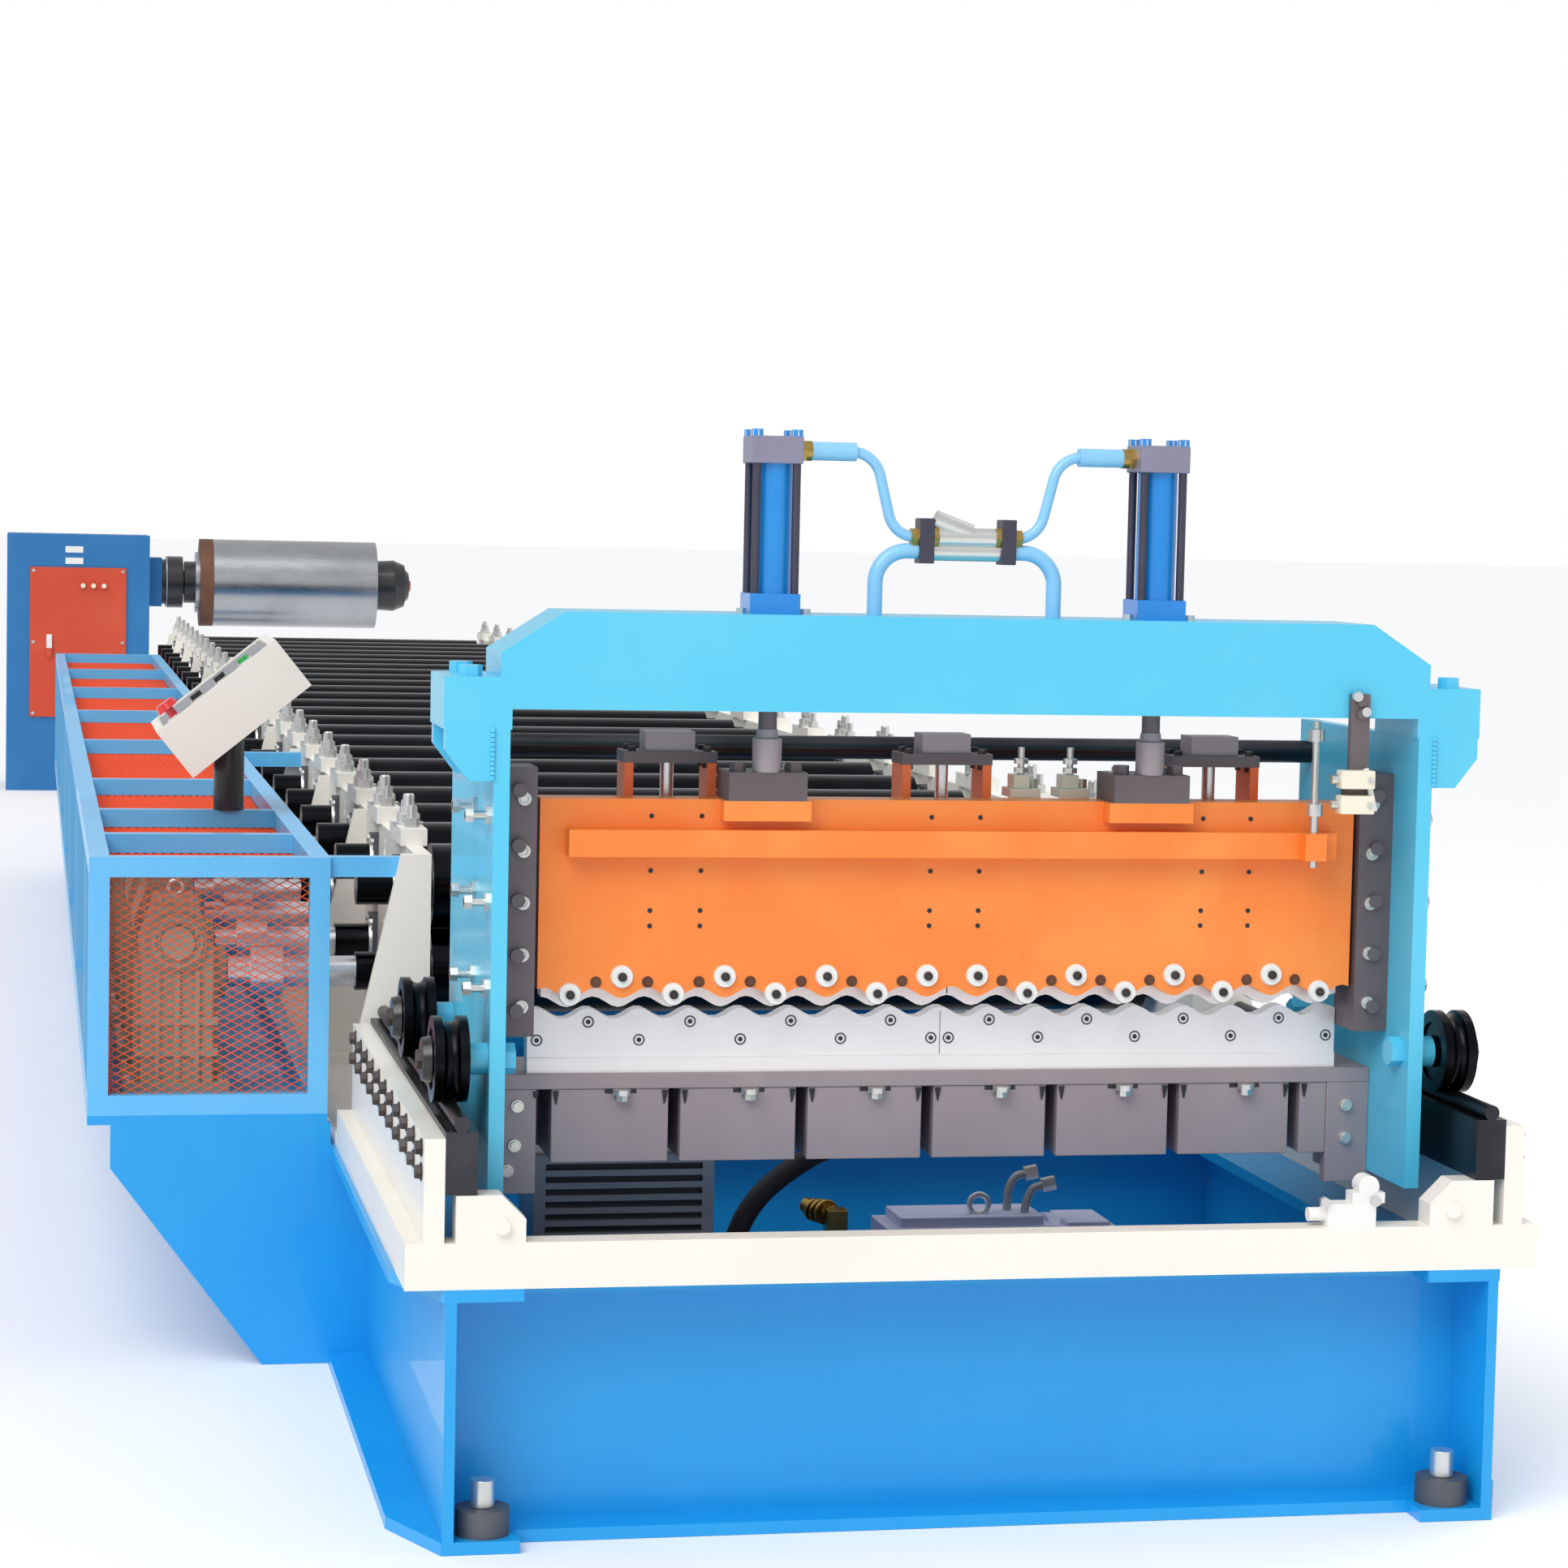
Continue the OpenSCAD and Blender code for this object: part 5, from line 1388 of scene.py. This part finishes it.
@dataclass
class HydraulicUnit:
    """Fittings of the oil tank, motor and cooler under the press.

    Attributes:
        front: Front face of the cooler and the tank.
        cooler: Left and right edge of the louvred part of the cooler.
        louvres: Height of the lowest louvre, their pitch and their number.
        motor: Left and right end of the motor, its place and its height.
        suction_route: Points of the thick black hose.
        pressure_routes: Points of the two thin grey hoses.
    """

    front: float = 300.0
    cooler: tuple[float, float] = (-510.0, -296.0)
    louvres: tuple[float, float, int] = (186.0, 17.0, 14)
    motor: tuple[float, float, float, float] = (-8.0, 262.0, 460.0, 238.0)
    suction_route: tuple[Point, ...] = ((-58, 470, 412), (-120, 450, 392), (-190, 430, 345),
                                        (-226, 420, 285), (-236, 415, 200))
    pressure_routes: tuple[tuple[Point, ...], ...] = (
        ((198, 450, 366), (184, 452, 362), (174, 452, 345), (172, 452, 318), (174, 452, 296)),
        ((218, 430, 353), (204, 432, 348), (196, 432, 332), (192, 432, 312), (192, 432, 296)),
    )

    def build(self) -> None:
        """Makes the painted shade in the louvres' gaps, the motor and the hoses."""
        low_z, pitch, count = self.louvres
        # Black strips are painted shade in the gaps between the louvres.
        Pattern("cooler_gaps", Body.FRAME, Plastic.BLACK, "black_steel",
                lambda s: s.block((self.cooler[0], self.front + 9, low_z),
                                  (self.cooler[1], self.front + 12, low_z + pitch / 2)),
                count, (0, 0, pitch)).build()
        self.build_motor()
        self.build_fittings()

    def build_motor(self) -> None:
        """Makes the finned motor, which stands for the frame's plain one."""
        left, right, y, z = self.motor
        body = Sketch("pump_motor_body")
        body.rod((left, y, z), (right, y, z), 62, sides=48)
        for i in range(16):
            a = math.radians(22.5 * i)
            out = Vector((0, math.cos(a), math.sin(a)))
            tangent = Vector((0, math.sin(a), -math.cos(a)))
            frame_x = Matrix((Vector((1, 0, 0)), tangent, out)).transposed().to_4x4()
            turn = Matrix.Translation(Vector((0, y, z)) * MM) @ frame_x
            body.block((left + 18, -2.5, 58), (right - 40, 2.5, 70), turn)
        body.rod((right - 34, y, z), (right, y, z), 70, 66, 48)
        for x0, x1, rise, taper in ((left - 6, left + 242, 76, 20), (left + 246, left + 330, 66, 10)):
            body.block((x0 + taper, y - 54, z + 30), (x1 - taper, y + 40, z + rise))
            body.block((x0, y - 58, z + 20), (x1, y + 44, z + rise - taper * 0.7))
        piece = body.piece(Body.FRAME, Paint.MOTOR, "motor_paint", 2.0)
        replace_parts(piece, "pump_motor")
        eye = Sketch("motor_eyebolt")
        eye.ring((left + 133, y - 30, z + 89), (0, 1, 0), 14, 4.2)
        eye.rod((left + 133, y - 30, z + 70), (left + 133, y - 30, z + 77), 8)
        eye.piece(Body.FRAME, Metal.ZINC, "bright_steel")

    def build_fittings(self) -> None:
        """Makes the hoses with their nuts and the brass elbow."""
        hose = Sketch("suction_hose")
        hose.tube(self.suction_route, 15)
        hose.piece(Body.FRAME, Plastic.HOSE, "black_steel")
        thin = Sketch("pressure_hoses")
        for route in self.pressure_routes:
            thin.tube(route, 6)
        thin.piece(Body.FRAME, Metal.HOSE_GREY, "cooler_grey")
        nuts = Sketch("hose_nuts")
        nuts.rod((196, 450, 366), (214, 448, 370), 10.5, sides=6)
        nuts.rod((216, 430, 353), (235, 428, 357), 10.5, sides=6)
        nuts.piece(Body.FRAME, Metal.ZINC, "bright_steel")
        brass = Sketch("brass_elbow")
        brass.block((-117, 322, 296), (-88, 350, 342))
        brass.rod((-102, 336, 276), (-102, 336, 298), 13, sides=24)
        for i in range(3):
            brass.rod((-112 - 6 * i, 350 + 9 * i, 334), (-114 - 6 * i, 356 + 9 * i, 335), 18 - i,
                      sides=28)
        brass.rod((-106, 344, 333), (-134, 390, 338), 11, sides=24)
        brass.piece(Body.FRAME, Metal.BRASS, "bright_steel", 1.0)


@dataclass
class CoilHolder:
    """Buttons, handle and plates of the coil holder's cabinet, and hubs of its drum.

    Attributes:
        panel_left: Left edge of the access panel.
        panel_width: Width of the access panel.
        panel_bottom: Lower edge of the access panel.
        panel_height: Height of the access panel.
        front: Front face of the access panel.
        axis: Place and height of the drum's axis.
        plates: Heights of the two small plates.
        fixed_hubs: Ends and radius of each fixed hub.
        turning_flange: Ends and radius of the flange that turns.
        band: Ends and radius of the brown band on the drum.
        nose: Ends and end radii of the nose's parts.
    """

    panel_left: float = -1195.0
    panel_width: float = 424.0
    panel_bottom: float = 331.0
    panel_height: float = 670.0
    front: float = 12312.0
    axis: tuple[float, float] = (12600.0, 938.0)
    plates: tuple[float, float] = (1081.0, 1030.0)
    fixed_hubs: tuple[Point, ...] = ((-668.0, -584.0, 103.0), (-584.0, -512.0, 117.0))
    turning_flange: Point = (-506.0, -436.0, 95.0)
    band: Point = (-436.5, -376.0, 198.8)
    nose: tuple[tuple[float, ...], ...] = ((364.5, 450.0, 112.0, 117.0), (450.0, 500.0, 117.0, 96.0),
                                           (500.0, 520.0, 80.0, 60.0))

    def build(self) -> None:
        """Makes the holder's fittings."""
        x0, top = self.panel_left, self.panel_bottom + self.panel_height
        lamps = Sketch("cabinet_button_caps")
        for i in range(3):
            x = x0 + self.panel_width * 0.55 + i * 46
            lamps.rod((x, self.front - 14, top - 81), (x, self.front - 19, top - 81), 11, 10)
        lamps.piece(Body.FRAME, Plastic.CREAM, "button_plastic")
        plates = Sketch("cabinet_plates")
        for z in self.plates:
            plates.block((-1040, self.front + 6.5, z - 14), (-962, self.front + 8, z + 14))
        plates.piece(Body.FRAME, Plastic.WHITE, "white_plastic")
        handle = Sketch("cabinet_handle")
        x = x0 + self.panel_width * 0.18
        handle.block((x - 2, self.front - 22, self.panel_bottom + self.panel_height * 0.46),
                     (x + 22, self.front, self.panel_bottom + self.panel_height * 0.55 + 1))
        handle.piece(Body.FRAME, Plastic.WHITE, "white_plastic", 2.0)
        screws = Sketch("cabinet_panel_screws")
        for x in (x0 + 16, x0 + self.panel_width - 16):
            for z in (self.panel_bottom + 16, self.panel_bottom + self.panel_height / 2, top - 16):
                screws.rod((x, self.front, z), (x, self.front - 4, z), 8, 7, 20)
        screws.piece(Body.FRAME, Metal.ZINC, "bright_steel")
        y, z = self.axis
        band = Sketch("drum_band")
        band.rod((self.band[0], y, z), (self.band[1], y, z), self.band[2], sides=96)
        band.piece(Body.DRUM, Metal.BROWN, "spindle_steel")
        hubs = Sketch("fixed_hubs")
        for left, right, radius in self.fixed_hubs:
            hubs.rod((left, y, z), (right, y, z), radius, sides=64)
        hubs.piece(Body.FRAME, Paint.BLACK, "spindle_steel", 2.0)
        flange = Sketch("turning_flange")
        left, right, radius = self.turning_flange
        flange.rod((left, y, z), (right, y, z), radius, sides=64)
        flange.piece(Body.DRUM, Paint.BLACK, "spindle_steel", 2.0)
        rings = Sketch("hub_rings")
        rings.ring((self.fixed_hubs[1][0], y, z), (1, 0, 0), 112, 5, 64, 10)
        rings.piece(Body.FRAME, Metal.ZINC, "bright_steel")
        nose = Sketch("drum_nose")
        for left, right, near, far in self.nose:
            nose.rod((left, y, z), (right, y, z), near, far, 64)
        nose.piece(Body.DRUM, Paint.BLACK, "spindle_steel", 2.0)
        tip = Sketch("nose_tip")
        tip.rod((520, y, z), (530, y, z), 30, 24, 32)
        tip.piece(Body.DRUM, Paint.PANEL_RED, "red_paint")


@dataclass
class DriveRow:
    """Covers, ribs, bolts and eyebolts of the gearbox row.

    Attributes:
        bed: Places of the roller stations.
        count: Number of gearboxes.
        x: Middle of the gearboxes.
        shaft: Height of the line shaft.
        body: Half of a gearbox body's width.
    """

    bed: Bed
    count: int = 18
    x: float = -970.0
    shaft: float = 625.0
    body: float = 54.0

    def build(self) -> None:
        """Makes the fittings of the gearboxes."""
        y0 = self.bed.first
        face, body = y0 - 109, y0 - 95
        top, floor_z = high("gearbox_row").z, low("gearbox_row").z

        def cover(sketch: Sketch) -> None:
            """Draws the round cover of one gearbox.

            Args:
                sketch: The sketch to draw into.
            """
            sketch.ring((self.x, face - 1, self.shaft), (0, 1, 0), 36, 4)
            sketch.rod((self.x, face, self.shaft), (self.x, face - 8, self.shaft), 27, 25, 28)
            for i in range(6):
                angle = math.radians(60 * i + 30)
                x, z = self.x + 34 * math.cos(angle), self.shaft + 34 * math.sin(angle)
                sketch.rod((x, face, z), (x, face - 6, z), 5, sides=6)

        def ribs(sketch: Sketch) -> None:
            """Draws the ribs and the top plate of one gearbox.

            Args:
                sketch: The sketch to draw into.
            """
            for dx in (-30, 0, 30):
                sketch.block((self.x + dx - 4, body - 9, floor_z + 30),
                             (self.x + dx + 4, body, self.shaft - 44))
            for dx in (-1, 1):
                for dy in (-60, 0, 60):
                    sketch.span((self.x + dx * self.body, self.x + dx * (self.body + 9)),
                                (y0 + dy - 4, y0 + dy + 4), (floor_z + 30, self.shaft - 30))
            sketch.block((self.x - 34, y0 - 70, top), (self.x + 34, y0 + 70, top + 7))

        def bolts(sketch: Sketch) -> None:
            """Draws the bolts of one gearbox.

            Args:
                sketch: The sketch to draw into.
            """
            for dx in (-1, 1):
                for dy in (-80, 80):
                    start = (self.x + dx * 70, y0 + dy, floor_z + 30)
                    sketch.rod(start, (start[0], start[1], start[2] + 10), 9, sides=6)
                for dy in (-50, 50):
                    start = (self.x + dx * 24, y0 + dy, top + 7)
                    sketch.rod(start, (start[0], start[1], start[2] + 5), 6, sides=6)

        def eye(sketch: Sketch) -> None:
            """Draws the eyebolt of one gearbox.

            Args:
                sketch: The sketch to draw into.
            """
            sketch.rod((self.x, y0, top + 7), (self.x, y0, top + 15), 8, sides=16)
            sketch.ring((self.x, y0, top + 23), (0, 1, 0), 11, 3.5)
        row = (self.count, (0, self.bed.pitch, 0))
        Pattern("gearbox_covers", Body.FRAME, Metal.CAST, "gearbox_iron", cover, *row).build()
        Pattern("gearbox_ribs", Body.FRAME, Metal.CAST, "gearbox_iron", ribs, *row).build()
        Pattern("gearbox_bolts", Body.FRAME, Metal.ZINC, "bright_steel", bolts, *row).build()
        Pattern("gearbox_eyebolts", Body.FRAME, Metal.ZINC, "bright_steel", eye, *row).build()


@dataclass
class FrontFittings:
    """Bolts of the travel switch, bright levelling screws and weld beads of the gussets."""

    def build(self) -> None:
        """Makes the bolts, the pads' bright screws and the beads."""
        travel = Sketch("travel_switch_fittings")
        travel.rod((445, -96, 424), (445, -103, 424), 7, sides=6)
        travel.rod((515, -96, 424), (515, -103, 424), 7, sides=6)
        travel.piece(Body.FRAME, Metal.ZINC, "bright_steel")
        pads = Sketch("pad_screws")
        for side in Side:
            pads.rod((side.value * 633, -60, 51), (side.value * 633, -60, 85), 15.6, 15.2, 24)
        pads.piece(Body.FRAME, Metal.ZINC, "bright_steel", 0.8)
        welds = Sketch("gusset_welds")
        for side in Side:
            for i in range(11):
                z = 952 + 6 * i
                welds.rod((side.value * 624, 27, z), (side.value * 624, 27, z + 5), 3.4, 2.6, 8)
        welds.piece(Body.PRESS, Paint.PRESS, "light_blue_paint")


@dataclass
class Studio:
    """Camera, lights and floor.

    Attributes:
        place: The camera's place in metres.
        right: The camera's right-hand direction.
        down: The camera's downward direction.
        lens: Focal length on a 36 mm sensor.
    """

    place: Point = (-1.1931, -4.5842, 1.286)
    right: Point = (0.97985, -0.19858, 0.02161)
    down: Point = (0.00695, -0.07423, -0.99722)
    lens: float = 85.09

    def build(self) -> None:
        """Makes the studio."""
        scene = bpy.context.scene
        self.build_camera(scene)
        data = bpy.data.meshes.new("floor")
        data.from_pydata([(-90, -60, 0), (90, -60, 0), (90, 140, 0), (-90, 140, 0)], [], [(0, 1, 2, 3)])
        floor = bpy.data.objects.new("floor", data)
        floor.location.z = -0.0005
        scene.collection.objects.link(floor)
        pale = Finish("pale floor", "#FDFDFD", "#FCFCFC", 0.9, spread=0.2, bump=0.0)
        floor.data.materials.append(pale.build())
        sun = bpy.data.lights.new("soft sun", "SUN")
        sun.angle = math.radians(50)
        sun.energy = 1.45
        light = bpy.data.objects.new("soft sun", sun)
        light.rotation_euler = Vector((0.42, 0.5, -0.76)).to_track_quat("-Z", "Y").to_euler()
        scene.collection.objects.link(light)
        for name, place, aim, size, power in (
            ("key light", (-4.5, -5.0, 6.0), (0, 1.5, 0.5), 4.0, 110.0),
            ("side light", (4.0, 2.0, 4.0), (0, 4.0, 0.6), 3.0, 60.0),
        ):
            lamp = bpy.data.lights.new(name, "AREA")
            lamp.size = size
            lamp.energy = power
            panel = bpy.data.objects.new(name, lamp)
            panel.location = place
            panel.rotation_euler = (Vector(aim) - Vector(place)).to_track_quat("-Z", "Y").to_euler()
            scene.collection.objects.link(panel)
        self.build_world(scene)
        scene.view_settings.view_transform = "Standard"

    def build_camera(self, scene: bpy.types.Scene) -> None:
        """Places the camera as in the photograph.

        Args:
            scene: The scene.
        """
        camera = bpy.data.objects.new("camera", bpy.data.cameras.new("camera"))
        camera.data.lens = self.lens
        camera.data.sensor_width = 36.0
        camera.data.clip_end = 200.0
        x, y = Vector(self.right).normalized(), -Vector(self.down).normalized()
        turn = Matrix((x, y, x.cross(y))).transposed().to_4x4()
        camera.matrix_world = Matrix.Translation(self.place) @ turn
        scene.collection.objects.link(camera)
        scene.camera = camera

    def build_world(self, scene: bpy.types.Scene) -> None:
        """Makes the soft surrounding light with a white background.

        Args:
            scene: The scene.
        """
        world = bpy.data.worlds.new("studio")
        scene.world = world
        world.use_nodes = True
        tree = world.node_tree
        glow = tree.nodes["Background"]
        glow.inputs["Color"].default_value = srgb("#F3F4F7")
        glow.inputs["Strength"].default_value = 0.7
        white = add_node(tree, "ShaderNodeBackground", {"Strength": 1.0})
        white.inputs["Color"].default_value = (1.0, 1.0, 1.0, 1.0)
        path = add_node(tree, "ShaderNodeLightPath")
        mix = add_node(tree, "ShaderNodeMixShader", {}, {0: path.outputs["Is Camera Ray"],
                                                         1: glow.outputs[0], 2: white.outputs[0]})
        tree.links.new(mix.outputs[0], tree.nodes["World Output"].inputs["Surface"])


def main() -> None:
    """Builds every sub-assembly."""
    FrameFinishes().build()
    bed = Bed.read()
    parts = [PressTrack(), ShearFace(), SheetPresses(), RamTop(), SwitchStrip(), LowerBeam(),
             PressWheels(), OilTee(), RollerBed(bed), GuardMesh(), OperatorPanel(), HydraulicUnit(),
             CoilHolder(), DriveRow(bed), FrontFittings()]
    parts += [PressCylinder(side) for side in Side]
    for part in parts:
        part.build()
    Studio().build()


if __name__ == "__main__":
    main()
